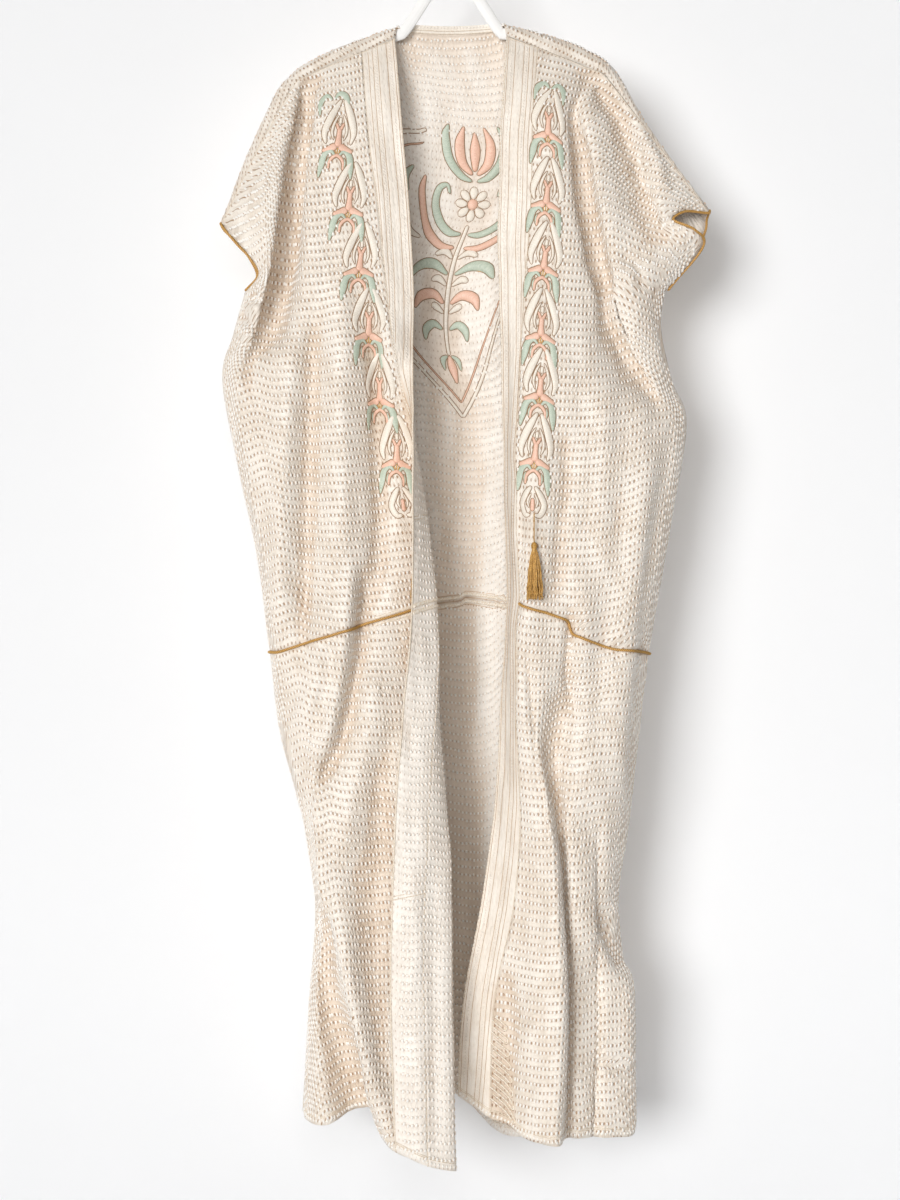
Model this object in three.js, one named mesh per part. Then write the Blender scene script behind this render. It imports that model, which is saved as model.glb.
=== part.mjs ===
// An open-fronted kaftan with short wide sleeves, hung on a plain hanger.
// Millimetres, +Z up, front of the garment towards -Y, left and right as seen from the front.
// The origin is the inside top of the hanger's hook, where it bears on a rod.
//
// Every cloth piece is a wall laid on one skin. A skin goes through a table of sections: a row
// for each level down the cloth, with x, drop and out for each fold line across it. drop is how
// far a point lies below the neck and out is how far it stands forward of the hanger.
import * as THREE from 'three';

const clothThick = 1.5;
const seamGap = 0.3;
const drawnIn = 0.18;        // how far a panel's rim stays back from its seam, a little over half the gap
const hookRise = 125;        // from the neck up to the inside top of the hook
const bandWidth = 41;        // cut width of the front bands
const neckBandWidth = 10;
const cordRadius = 1.5;      // gold cord on the waist seam and the sleeve hems
const waistRow = 10;         // the section where the upper and lower loom widths are joined
const hemRow = 15;
const underarmRow = 5;       // the section where the sleeve mouth ends and the side seam starts
const yokeRow = 1;           // just behind the hanger, where the yoke's node ends and the back's starts
const shoulderLean = 2;      // how far the cloth at the shoulder seam faces forward rather than up
const cordSeamInset = 3;     // how far the waist cord's ends stay back from the seams
const neckStop = 6;          // how far the neck band ends from the neckline's corners
const armHigh = 7;           // half height of a hanger arm
const armWide = 2.5;         // half thickness of a hanger arm
const armGap = 1.2;          // between a hanger arm and the cloth that it carries
const apexDrop = -66;        // middle of the hanger's peak
const wireRadius = 1.8;
const hookRadius = 18;       // to the middle of the wire
const hookSweep = 1.55 * Math.PI;
const tasselCordLength = 33;
const tasselCordRadius = 0.9;
const tasselFlat = 0.45;     // depth of a tassel as a share of its width

const nearby = 0.02;         // a small part of a section, for slopes along the skin
const tightestMitre = 0.35;  // least cosine that a mitre is worked out with
const cordSides = 8;
const armSides = 12;

const place = (x, drop, out) => new THREE.Vector3(x, -out, -(hookRise + drop));

// ---- sections of the cloth -------------------------------------------------------------
// drop: how far below the neck a section lies at the opening edge, at the armhole ridge and at
// the side; four values give the sleeve's too and nine give it for every fold line. across: cloth
// from the opening edge.
const foldLines = ['edge', 'seam', 'turn', 'breast', 'body', 'valley', 'ridge', 'sleeve', 'side'];
const shoulderLines = ['edge', 'ridge', 'sleeve', 'side'];

const frontLeft = {
  across: [0, bandWidth, 72, 115, 165, 195, 220, 262, 300],
  sections: [
    { drop: [21, 36, 47, 54, 59, 65, 73, 155, 246],
      x: [-69, -109, -135, -150, -163, -175, -188, -235, -279],
      out: [6, 8, 9, 9, 9, 9, 9, 9, 6] },
    { drop: [93, 129, 259],
      x: [-63, -104, -131, -154, -170, -180, -191, -229, -269],
      out: [22, 24, 26, 27, 25, 13, 24, 25, 14] },
    { drop: [155, 192, 273],
      x: [-58, -98, -126, -155, -177, -189, -199, -227, -257],
      out: [26, 29, 31, 31, 28, 12, 27, 27, 13] },
    { drop: [209, 248, 286],
      x: [-53, -90, -121, -154, -180, -196, -208, -225, -245],
      out: [28, 32, 34, 35, 31, 9, 28, 27, 12] },
    { drop: [270, 308, 308],
      x: [-49, -84, -115, -151, -180, -203, -218, -226, -234],
      out: [30, 35, 37, 38, 34, 6, 28, 24, 10] },
    { drop: [306, 340, 329],
      x: [-47, -80, -112, -149, -180, -208, -227, -240, -252],
      out: [31, 36, 39, 40, 36, 5, 25, 14, -5] },
    { drop: [348, 385, 380],
      x: [-46, -76, -105, -146, -184, -218, -237, -254, -266],
      out: [32, 38, 41, 43, 39, 8, 24, 16, -4] },
    { drop: [397, 435, 435],
      x: [-47, -69, -97, -141, -197, -241, -258, -271, -279],
      out: [36, 44, 45, 47, 41, 22, 22, 12, -2] },
    { drop: [501, 541, 545],
      x: [-46, -49, -76, -124, -184, -225, -245, -254, -259],
      out: [64, 26, 34, 47, 45, 35, 25, 14, 0] },
    { drop: [608, 650, 648],
      x: [-46, -30, -59, -110, -172, -205, -223, -232, -237],
      out: [64, 29, 34, 47, 46, 36, 25, 14, 0] },
    { drop: [715, 765, 766],
      x: [-48, -19, -41, -101, -158, -188, -207, -217, -221],
      out: [66, 38, 26, 43, 46, 38, 26, 13, 0] },
    { drop: [822, 865, 867],
      x: [-56, -18, -26, -86, -156, -179, -196, -205, -208],
      out: [72, 52, 26, 42, 46, 37, 25, 12, 0] },
    { drop: [939, 979, 977],
      x: [-66, -26, -11, -74, -157, -168, -175, -178, -178],
      out: [84, 72, 44, 40, 50, 36, 22, 10, 0] },
    { drop: [1056, 1075, 1075],
      x: [-71, -31, -1, -60, -148, -157, -163, -166, -166],
      out: [92, 90, 66, 42, 60, 36, 18, 6, -4] },
    { drop: [1173, 1190, 1197],
      x: [-73, -33, 0, -43, -128, -147, -163, -172, -174],
      out: [97, 99, 80, 48, 72, 28, 30, 12, -6] },
    { drop: [1348, 1365, 1374, 1372, 1352, 1322, 1334, 1333, 1326],
      x: [-67, -28, 4, -24, -71, -109, -150, -174, -182],
      out: [100, 108, 92, 60, 80, 15, 32, 14, -12] },
  ],
};

const frontRight = {
  across: [0, bandWidth, 72, 115, 165, 195, 220, 262, 300],
  sections: [
    { drop: [18, 31, 42, 50, 55, 58, 65, 135, 232],
      x: [66, 104, 129, 149, 163, 174, 185, 238, 311],
      out: [6, 8, 9, 9, 9, 9, 9, 9, 6] },
    { drop: [87, 120, 233],
      x: [62, 98, 116, 129, 139, 148, 161, 208, 280],
      out: [22, 28, 31, 31, 27, 17, 27, 18, 22] },
    { drop: [143, 178, 228, 247],
      x: [58, 96, 115, 132, 145, 155, 169, 228, 264],
      out: [26, 34, 38, 38, 33, 19, 33, 21, 34] },
    { drop: [203, 238, 266, 260],
      x: [57, 95, 113, 137, 154, 166, 181, 240, 290],
      out: [28, 39, 43, 43, 37, 22, 37, 26, 35] },
    { drop: [270, 303, 277],
      x: [55, 91, 109, 139, 166, 180, 191, 236, 301],
      out: [30, 43, 48, 48, 40, 22, 36, 34, 18] },
    { drop: [312, 345, 329],
      x: [57, 87, 106, 136, 167, 181, 192, 230, 258],
      out: [31, 46, 51, 50, 42, 22, 37, 28, 0] },
    { drop: [354, 392, 374],
      x: [58, 85, 105, 135, 169, 193, 209, 236, 254],
      out: [31, 48, 53, 52, 42, 19, 33, 21, 0] },
    { drop: [402, 443, 438],
      x: [60, 82, 104, 136, 179, 217, 241, 258, 268],
      out: [31, 50, 56, 55, 46, 22, 28, 14, 0] },
    { drop: [453, 492, 489],
      x: [61, 80, 102, 138, 191, 235, 262, 278, 285],
      out: [30, 53, 59, 58, 52, 40, 27, 12, 0] },
    { drop: [570, 607, 606],
      x: [64, 74, 96, 134, 186, 225, 248, 262, 267],
      out: [26, 58, 66, 62, 54, 43, 29, 13, 0] },
    { drop: [703, 764, 768],
      x: [66, 76, 92, 128, 177, 207, 225, 236, 239],
      out: [26, 62, 70, 63, 54, 43, 28, 12, 0] },
    { drop: [823, 879, 879],
      x: [60, 76, 88, 104, 126, 174, 205, 221, 226],
      out: [30, 62, 74, 74, 50, 55, 36, 15, 0] },
    { drop: [944, 980, 983],
      x: [52, 81, 99, 118, 131, 174, 194, 209, 214],
      out: [32, 60, 75, 82, 43, 54, 36, 15, 0] },
    { drop: [1064, 1074, 1074],
      x: [36, 74, 103, 126, 137, 172, 190, 200, 202],
      out: [34, 57, 75, 86, 41, 52, 32, 12, -2] },
    { drop: [1184, 1199, 1203],
      x: [14, 50, 94, 131, 142, 177, 198, 213, 217],
      out: [30, 45, 73, 88, 39, 50, 31, 10, -8] },
    { drop: [1300, 1325, 1343, 1348, 1347, 1348, 1349, 1345, 1297],
      x: [7, 46, 87, 124, 139, 170, 192, 212, 220],
      out: [24, 36, 62, 80, 38, 46, 30, 4, -15] },
  ],
};

// The back is one width. Its first three sections go over the hanger: the shoulder seam, where
// the fronts start, in front of it, then these two, the crest on top and one just behind it.
// Below them the fold lines keep fixed shares of the width.
const backLines = [
  'sideL', 'wingL', 'tipL', 'neckL', 'cornerL', 'spine', 'cornerR', 'neckR', 'tipR', 'wingR', 'sideR',
];
const backShare = [0, 0.05, 0.15, 0.33, 0.41, 0.5, 0.59, 0.67, 0.85, 0.95, 1];
const backWidth = 560;
const backShape = [0, 0.45, 0.92, 1, 1, 1, 1, 1, 0.92, 0.45, 0];
const backFlute = [0, 0, -0.8, 0.9, -0.2, -0.9, 0.3, 1, -0.7, 0.2, 0];
const overHanger = [
  [[-280, 243, 0], [-240, 142, 0], [-193, 62, 0], [-66, 6, 0], [-62, 10, -7], [0, 13, -10],
    [60, 9, -7], [63, 3, 0], [187, 48, 0], [243, 134, 0], [312, 228, 0]],
  [[-277, 250, -8], [-238, 158, -11], [-190, 80, -11], [-67, 22, -9], [-60, 24, -12], [0, 28, -14],
    [58, 23, -12], [64, 19, -9], [184, 66, -11], [240, 148, -11], [309, 238, -8]],
];
// drop at the spine, depth behind the hanger and height of the soft flutes, from the shoulder
// blades to the hem, with the back edge of each sleeve mouth while a section still crosses it
const backSections = [
  { drop: 110, depth: 21, flute: 1, mouthL: [-264, 266, -11], mouthR: [308, 250, -12] },
  { drop: 165, depth: 25, flute: 2, mouthL: [-252, 285, -13], mouthR: [301, 268, -14] },
  { drop: 228, depth: 28, flute: 3, mouthL: [-247, 307, -11], mouthR: [283, 297, -11] },
  { drop: 285, depth: 30, flute: 4 },
  { drop: 335, depth: 31, flute: 5 },
  { drop: 390, depth: 32, flute: 6 },
  { drop: 470, depth: 34, flute: 7 },
  { drop: 590, depth: 36, flute: 8 },
  { drop: 700, depth: 38, flute: 9 },
  { drop: 820, depth: 40, flute: 10 },
  { drop: 945, depth: 42, flute: 12 },
  { drop: 1065, depth: 44, flute: 14 },
  { drop: 1185, depth: 46, flute: 16 },
  { drop: [1326, 1331, 1322, 1310, 1306, 1327, 1358, 1362, 1335, 1316, 1297], depth: 48, flute: 18 },
];

// ---- skins -----------------------------------------------------------------------------
// A smooth curve through values at knots, between the knots first and last.
function through(knots, values, t, first = 0, last = knots.length - 1) {
  let k = first;
  while (k < last - 1 && t > knots[k + 1]) k += 1;
  const slope = (i) => {
    const low = Math.max(first, i - 1);
    const high = Math.min(last, i + 1);
    return values[high].clone().sub(values[low]).divideScalar(knots[high] - knots[low]);
  };
  const length = knots[k + 1] - knots[k];
  const s = (t - knots[k]) / length;
  const a = values[k].clone().multiplyScalar(2 * s ** 3 - 3 * s ** 2 + 1);
  a.addScaledVector(slope(k), (s ** 3 - 2 * s ** 2 + s) * length);
  a.addScaledVector(values[k + 1], 3 * s ** 2 - 2 * s ** 3);
  return a.addScaledVector(slope(k + 1), (s ** 3 - s ** 2) * length);
}

function frontSkin({ across, sections }, facing) {
  const ridge = foldLines.indexOf('ridge');
  const side = foldLines.indexOf('side');
  const rows = sections.map(({ drop, x, out }) => foldLines.map((_, line) => {
    if (drop.length === foldLines.length) return place(x[line], drop[line], out[line]);
    const [edgeDrop, ridgeDrop] = drop;
    const share = (from, to) => (x[line] - x[from]) / (x[to] - x[from]);
    let level = ridgeDrop + (drop.at(-1) - ridgeDrop) * share(ridge, side);
    if (line <= ridge) level = edgeDrop + (ridgeDrop - edgeDrop) * share(0, ridge);
    else if (drop.length === 4) level = drop[line - ridge + 1];
    return place(x[line], level, out[line]);
  }));
  return { across, rows, facing, firstRow: 0, seamLines: [side] };
}

function backSkin(left, right) {
  const side = foldLines.indexOf('side');
  const [leftSide, rightSide] = [left, right].map((front) => front.rows.map((row) => row[side]));
  const seamLines = shoulderLines.map((line) => foldLines.indexOf(line)).reverse();
  const neckline = [place(-64, 12, -5), place(0, 14, -10), place(62, 11, -5)];
  const rows = [[
    ...seamLines.map((line) => left.rows[0][line].clone()),
    ...neckline,
    ...seamLines.map((line) => right.rows[0][line].clone()).reverse(),
  ]];
  overHanger.forEach((row) => rows.push(row.map(([x, drop, out]) => place(x, drop, out))));
  backSections.forEach(({ drop, depth, flute, mouthL, mouthR }, k) => {
    const fromLeft = mouthL ? place(...mouthL) : leftSide[k + 2];
    const fromRight = mouthR ? place(...mouthR) : rightSide[k + 2];
    rows.push(backShare.map((share, line) => {
      if (line === 0) return fromLeft.clone();
      if (line === backShare.length - 1) return fromRight.clone();
      const point = fromLeft.clone().lerp(fromRight, share);
      const sag = 1 - Math.abs(2 * share - 1) ** 1.5;
      const sideDrop = -point.z - hookRise;
      const level = Array.isArray(drop) ? drop[line] : sideDrop + (drop - sideDrop) * sag;
      return place(point.x, level, -depth * backShape[line] + flute * backFlute[line]);
    }));
  });
  const across = backShare.map((share) => share * backWidth);
  const seams = [0, backLines.length - 1];
  return { across, rows, facing: 1, firstRow: -1, seamLines: seams, fronts: [left, right] };
}

// The shoulder seam runs straight between four points of a front's first row. Gives the place on
// it at point's x, and the seam's direction there.
function onShoulder(skin, point) {
  const front = skin.fronts ? skin.fronts[point.x < 0 ? 0 : 1] : skin;
  const knots = shoulderLines.map((line) => front.rows[0][foldLines.indexOf(line)]);
  const shares = knots.slice(1).map((to, k) => (point.x - knots[k].x) / (to.x - knots[k].x));
  const found = shares.findIndex((share) => share <= 1 + 1e-6);
  const k = found < 0 ? shares.length - 1 : found;
  const along = knots[k + 1].clone().sub(knots[k]).normalize();
  if (k + 2 < knots.length && shares[k] > 1 - 1e-6) {
    along.add(knots[k + 2].clone().sub(knots[k + 1]).normalize()).normalize();
  }
  return { place: knots[k].clone().lerp(knots[k + 1], shares[k]), along };
}

// facing is 1 where a skin's own turn, across and then down, is about the outward normal.
// The point of a skin at c (cloth from the first fold line) and t (a section's number). Side
// seams are curves of their own from the underarm down, the same for front and back.
function skinPoint(skin, c, t) {
  const knots = skin.rows.map((_, k) => k + skin.firstRow);
  const places = skin.across.map((_, line) => {
    const values = skin.rows.map((row) => row[line]);
    if (!skin.seamLines.includes(line)) return through(knots, values, t);
    const underarm = knots.indexOf(underarmRow);
    if (t >= underarmRow) return through(knots, values, t, underarm);
    return through(knots, values, t, 0, underarm);
  });
  return through(skin.across, places, c);
}

function skinNormal(skin, c, t) {
  const width = skin.across.at(-1);
  const along = skinPoint(skin, Math.min(width, c + 1), t).sub(skinPoint(skin, Math.max(0, c - 1), t));
  const low = skinPoint(skin, c, Math.min(hemRow, t + nearby));
  const down = low.sub(skinPoint(skin, c, Math.max(skin.firstRow, t - nearby)));
  return along.cross(down).normalize().multiplyScalar(skin.facing);
}

// ---- walls -----------------------------------------------------------------------------
// Cuts each span between neighbours of list into equal steps, counts[k] of them in span k.
function steps(list, counts) {
  const all = [list[0]];
  counts.forEach((count, k) => {
    for (let i = 1; i <= count; i += 1) all.push(list[k] + (list[k + 1] - list[k]) * i / count);
  });
  return all;
}

// A closed wall on a grid of points with an outward normal each. turn is 1 where going along the
// columns and then down the rows turns about the normals, else -1. Cells for which open(i, j) is
// true are left out.
function wall(points, normals, turn, open = () => false) {
  const columns = points.length;
  const rows = points[0].length;
  const positions = [];
  const layer = (offset) => points.forEach((column, i) => column.forEach((point, j) => {
    const moved = point.clone().addScaledVector(normals[i][j], offset);
    positions.push(moved.x, moved.y, moved.z);
  }));
  layer(clothThick / 2);
  layer(-clothThick / 2);
  const id = (i, j, back) => (back ? columns * rows : 0) + i * rows + j;
  const index = [];
  const quad = (a, b, c, d) => {
    if (turn > 0) index.push(a, b, c, a, c, d);
    else index.push(a, c, b, a, d, c);
  };
  const kept = (i, j) => i >= 0 && j >= 0 && i < columns - 1 && j < rows - 1 && !open(i, j);
  for (let i = 0; i < columns - 1; i += 1) {
    for (let j = 0; j < rows - 1; j += 1) {
      if (!kept(i, j)) continue;
      const cell = [[i, j], [i + 1, j], [i + 1, j + 1], [i, j + 1]];
      const [a, b, c, d] = cell.map(([k, l]) => points[k][l]);
      if (b.distanceTo(d) < a.distanceTo(c)) cell.push(cell.shift());
      quad(...cell.map(([k, l]) => id(k, l)));
      const [corner, ...others] = cell;
      quad(...[corner, ...others.reverse()].map(([k, l]) => id(k, l, 1)));
      if (!kept(i, j - 1)) quad(id(i, j), id(i, j, 1), id(i + 1, j, 1), id(i + 1, j));
      if (!kept(i, j + 1)) quad(id(i, j + 1), id(i + 1, j + 1), id(i + 1, j + 1, 1), id(i, j + 1, 1));
      if (!kept(i - 1, j)) quad(id(i, j), id(i, j + 1), id(i, j + 1, 1), id(i, j, 1));
      if (!kept(i + 1, j)) quad(id(i + 1, j), id(i + 1, j, 1), id(i + 1, j + 1, 1), id(i + 1, j + 1));
    }
  }
  return solid(positions, index);
}

// A geometry from positions and triangles, without the vertices that no triangle uses.
function solid(positions, index) {
  const fresh = new Map();
  const used = [];
  const renumbered = index.map((v) => {
    if (!fresh.has(v)) {
      fresh.set(v, used.length / 3);
      used.push(positions[3 * v], positions[3 * v + 1], positions[3 * v + 2]);
    }
    return fresh.get(v);
  });
  const geometry = new THREE.BufferGeometry();
  geometry.setAttribute('position', new THREE.Float32BufferAttribute(used, 3));
  geometry.setIndex(renumbered);
  geometry.computeVertexNormals();
  return geometry;
}

// A panel cut from a skin: columns c and rows t, drawn in from its neighbours at every seam.
function panel(skin, columns, rows, { sides = [], shoulder = false, open } = {}) {
  const points = columns.map((c) => rows.map((t) => skinPoint(skin, c, t)));
  const normals = columns.map((c) => rows.map((t) => skinNormal(skin, c, t)));
  const forward = new THREE.Vector3(0, -1, 0);
  const seamwise = (i, j, along, lean) => {
    const n = along.clone().cross(forward).normalize();
    if (n.dot(normals[i][j]) < 0) n.negate();
    normals[i][j] = n.addScaledVector(forward, lean).normalize();
  };
  sides.forEach((i) => rows.forEach((t, j) => {
    if (t < underarmRow) return;
    const c = columns[i];
    const low = skinPoint(skin, c, Math.min(hemRow, t + nearby));
    seamwise(i, j, low.sub(skinPoint(skin, c, t - nearby)), 0);
  }));
  if (shoulder) {
    columns.forEach((_, i) => {
      const seam = onShoulder(skin, points[i][0]);
      points[i][0] = seam.place;
      seamwise(i, 0, seam.along, shoulderLean);
    });
  }
  const lastColumn = columns.length - 1;
  const lastRow = rows.length - 1;
  const inwards = (from, to) => [from, to.clone().sub(from).setLength(drawnIn)];
  const moves = [];
  points.forEach((column) => {
    moves.push(inwards(column[0], column[1]), inwards(column[lastRow], column[lastRow - 1]));
  });
  rows.forEach((_, j) => {
    moves.push(inwards(points[0][j], points[1][j]));
    moves.push(inwards(points[lastColumn][j], points[lastColumn - 1][j]));
  });
  moves.forEach(([point, step]) => point.add(step));
  return wall(points, normals, skin.facing, open);
}

// A round or flattened rod through points. wide and high are its half sizes; closed joins its
// ends, and an open one is capped.
function rod(points, wide, high, sides, closed = false) {
  const count = points.length;
  const positions = [];
  const at = (k) => points[closed ? (k + count) % count : Math.min(Math.max(k, 0), count - 1)];
  let across = new THREE.Vector3(0, 1, 0);
  for (let k = 0; k < count; k += 1) {
    const tangent = at(k + 1).clone().sub(at(k - 1)).normalize();
    across = across.addScaledVector(tangent, -across.dot(tangent)).normalize();
    const above = tangent.clone().cross(across);
    for (let s = 0; s < sides; s += 1) {
      const angle = 2 * Math.PI * s / sides;
      const p = at(k).clone().addScaledVector(across, Math.cos(angle) * wide);
      p.addScaledVector(above, Math.sin(angle) * high);
      positions.push(p.x, p.y, p.z);
    }
  }
  const index = [];
  const rings = closed ? count : count - 1;
  for (let k = 0; k < rings; k += 1) {
    for (let s = 0; s < sides; s += 1) {
      const a = k * sides + s;
      const b = k * sides + (s + 1) % sides;
      const c = ((k + 1) % count) * sides + (s + 1) % sides;
      const d = ((k + 1) % count) * sides + s;
      index.push(a, b, c, a, c, d);
    }
  }
  if (!closed) {
    const tip = (p, ring, flip) => {
      const centre = positions.length / 3;
      positions.push(p.x, p.y, p.z);
      for (let s = 0; s < sides; s += 1) {
        const a = ring * sides + s;
        const b = ring * sides + (s + 1) % sides;
        index.push(...(flip ? [centre, a, b] : [centre, b, a]));
      }
    };
    tip(points[0], 0, false);
    tip(points[count - 1], count - 1, true);
  }
  return solid(positions, index);
}

// ---- materials and assembly ------------------------------------------------------------
const cotton = new THREE.MeshStandardMaterial({ color: 0xf1e6d6, roughness: 0.85, metalness: 0 });
const bandCotton = new THREE.MeshStandardMaterial({ color: 0xf4ebdd, roughness: 0.85, metalness: 0 });
const goldCord = new THREE.MeshStandardMaterial({ color: 0xb8893f, roughness: 0.5, metalness: 0.4 });
const whitePlastic = new THREE.MeshStandardMaterial({ color: 0xf4f4f2, roughness: 0.35, metalness: 0 });

const kaftan = new THREE.Group();
function add(name, geometry, material) {
  const mesh = new THREE.Mesh(geometry, material);
  mesh.name = name;
  kaftan.add(mesh);
}

const leftSkin = frontSkin(frontLeft, 1);
const rightSkin = frontSkin(frontRight, -1);
const back = backSkin(leftSkin, rightSkin);

const upperRows = steps([0, underarmRow, 7, waistRow], [10, 2, 6]);
const lowerRows = steps([waistRow, 14, hemRow], [8, 3]);
const allRows = [...upperRows, ...lowerRows.slice(1)];
const bandColumns = steps([0, bandWidth], [2]);

const panelColumns = steps(leftSkin.across.slice(1), [2, 2, 3, 2, 2, 2, 3]);

for (const [name, skin] of [['left', leftSkin], ['right', rightSkin]]) {
  const sides = [panelColumns.length - 1];
  add(`front_${name}_upper`, panel(skin, panelColumns, upperRows, { sides, shoulder: true }), cotton);
  add(`front_${name}_lower`, panel(skin, panelColumns, lowerRows, { sides }), cotton);
  add(`front_band_${name}`, panel(skin, bandColumns, allRows, { shoulder: true }), bandCotton);
}

// The neck opening is left out of the back's first cells, which lie in front of the hanger.
const backColumns = steps(back.across, [2, 2, 4, 1, 3, 3, 1, 4, 2, 2]);
const lineAcross = (line) => back.across[backLines.indexOf(line)];
const neckL = backColumns.indexOf(lineAcross('neckL'));
const neckR = backColumns.indexOf(lineAcross('neckR'));
const yokeRows = steps([-1, yokeRow], [4]);
const backUpperRows = steps([yokeRow, 2, underarmRow, 7, waistRow], [2, 6, 2, 6]);
const backRows = [...yokeRows, ...backUpperRows.slice(1)];
const overNeck = (i, j) => yokeRows[j] < 0 && i >= neckL && i < neckR;
const backSides = [0, backColumns.length - 1];
add('back_yoke', panel(back, backColumns, yokeRows, { shoulder: true, open: overNeck }), cotton);
add('back_upper', panel(back, backColumns, backUpperRows, { sides: backSides }), cotton);
add('back_lower', panel(back, backColumns, lowerRows, { sides: backSides }), cotton);

// The neck band stands on the back's neckline, going on the way the back comes up to it.
const neckEnds = [lineAcross('cornerL') + neckStop, lineAcross('cornerR') - neckStop];
const neckColumns = steps([neckEnds[0], lineAcross('spine'), neckEnds[1]], [4, 4]);
const neckHeights = [seamGap, neckBandWidth / 2, neckBandWidth];
const neckPoints = neckColumns.map((c) => {
  const foot = skinPoint(back, c, 0);
  const rise = foot.clone().sub(skinPoint(back, c, 1)).normalize();
  return neckHeights.map((height) => foot.clone().addScaledVector(rise, height));
});
const neckNormals = neckColumns.map((c) => neckHeights.map(() => skinNormal(back, c, 0)));
add('back_neck_band', wall(neckPoints, neckNormals, -back.facing), bandCotton);

// Moves the corners of a line off to one side: aside(k, along) is the way to move corner k, and
// the line's straight parts end up distance away from where they were.
function beside(line, distance, aside, closed = false) {
  const count = line.length;
  const part = (k) => line[(k + 1) % count].clone().sub(line[k]).normalize();
  return line.map((point, k) => {
    const before = part(closed || k > 0 ? (k + count - 1) % count : k);
    const after = part(closed || k < count - 1 ? k : k - 1);
    const along = before.clone().add(after).normalize();
    const away = aside(k, along);
    away.addScaledVector(along, -away.dot(along)).normalize();
    return point.clone().addScaledVector(away, distance / Math.max(tightestMitre, along.dot(after)));
  });
}

// Gold cord laid along the waist seam, on the outer face, ending a little way short of its ends.
function waistCord(skin, columns) {
  const line = columns.map((c) => skinPoint(skin, c, waistRow));
  line[0].add(line[1].clone().sub(line[0]).setLength(cordSeamInset));
  line.at(-1).add(line.at(-2).clone().sub(line.at(-1)).setLength(cordSeamInset));
  const off = clothThick / 2 + cordRadius + seamGap;
  const points = beside(line, off, (k) => skinNormal(skin, columns[k], waistRow));
  return rod(points, cordRadius, cordRadius, cordSides);
}
add('waist_cord_left', waistCord(leftSkin, panelColumns), goldCord);
add('waist_cord_right', waistCord(rightSkin, panelColumns), goldCord);
add('waist_cord_back', waistCord(back, backColumns), goldCord);

// Gold cord round each sleeve mouth, off the edge of the cloth: down the front edge from the
// shoulder seam to the underarm and up the back edge.
function mouthCord(front, backEdge) {
  const line = [];
  const normals = [];
  const pass = (skin, edge, t) => {
    line.push(skinPoint(skin, edge, t));
    normals.push(skinNormal(skin, edge, t));
  };
  const last = upperRows.indexOf(underarmRow);
  upperRows.slice(0, last).forEach((t) => pass(front, front.across.at(-1), t));
  const lastBack = backRows.indexOf(underarmRow);
  backRows.slice(1, lastBack).reverse().forEach((t) => pass(back, backEdge, t));
  const off = cordRadius + 2.5 * seamGap;
  const away = (k, along) => along.clone().cross(normals[k]).multiplyScalar(front.facing);
  return rod(beside(line, off, away, true), cordRadius, cordRadius, cordSides, true);
}
add('sleeve_cord_left', mouthCord(leftSkin, 0), goldCord);
add('sleeve_cord_right', mouthCord(rightSkin, back.across.at(-1)), goldCord);

// Hanger: two flattened arms that follow the crest of the shoulders just under the cloth, then
// rise out of the neck to a round apex, and a wire hook above it.
const armUnder = clothThick / 2 + armGap + armHigh;

function armPoints(tipLine, neckLine) {
  const [from, to] = [tipLine, neckLine].map(lineAcross).sort((a, b) => a - b);
  const carried = backColumns.filter((c) => c >= from && c <= to);
  const crest = carried.map((c) => skinPoint(back, c, 0).setY(0));
  return beside(crest, armUnder, () => new THREE.Vector3(0, 0, -1));
}
const neckRise = [[60, 14], [52, 3], [46, -6], [34, -25], [21, -46], [11, -60]];
const riseParts = 26;
const rise = new THREE.CatmullRomCurve3([
  ...neckRise.map(([x, drop]) => place(-x, drop, 0)), place(0, apexDrop, 0),
  ...neckRise.map(([x, drop]) => place(x, drop, 0)).reverse(),
]);
const armPath = [
  ...armPoints('tipL', 'neckL').slice(0, -1),
  ...rise.getPoints(riseParts),
  ...armPoints('neckR', 'tipR').slice(1),
];
add('hanger_arms', rod(armPath, armWide, armHigh, armSides), whitePlastic);

const hookCentre = place(0, -hookRise, 0).add(new THREE.Vector3(0, 0, wireRadius - hookRadius));
const hookPoints = [place(0, apexDrop - armHigh - seamGap, 0)];
const hookParts = 20;
for (let k = 0; k <= hookParts; k += 1) {
  const angle = -Math.PI / 2 + k / hookParts * hookSweep;
  const reach = new THREE.Vector3(Math.cos(angle), 0, Math.sin(angle));
  hookPoints.push(hookCentre.clone().addScaledVector(reach, hookRadius));
}
add('hanger_hook', rod(hookPoints, wireRadius, wireRadius, cordSides), whitePlastic);

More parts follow.
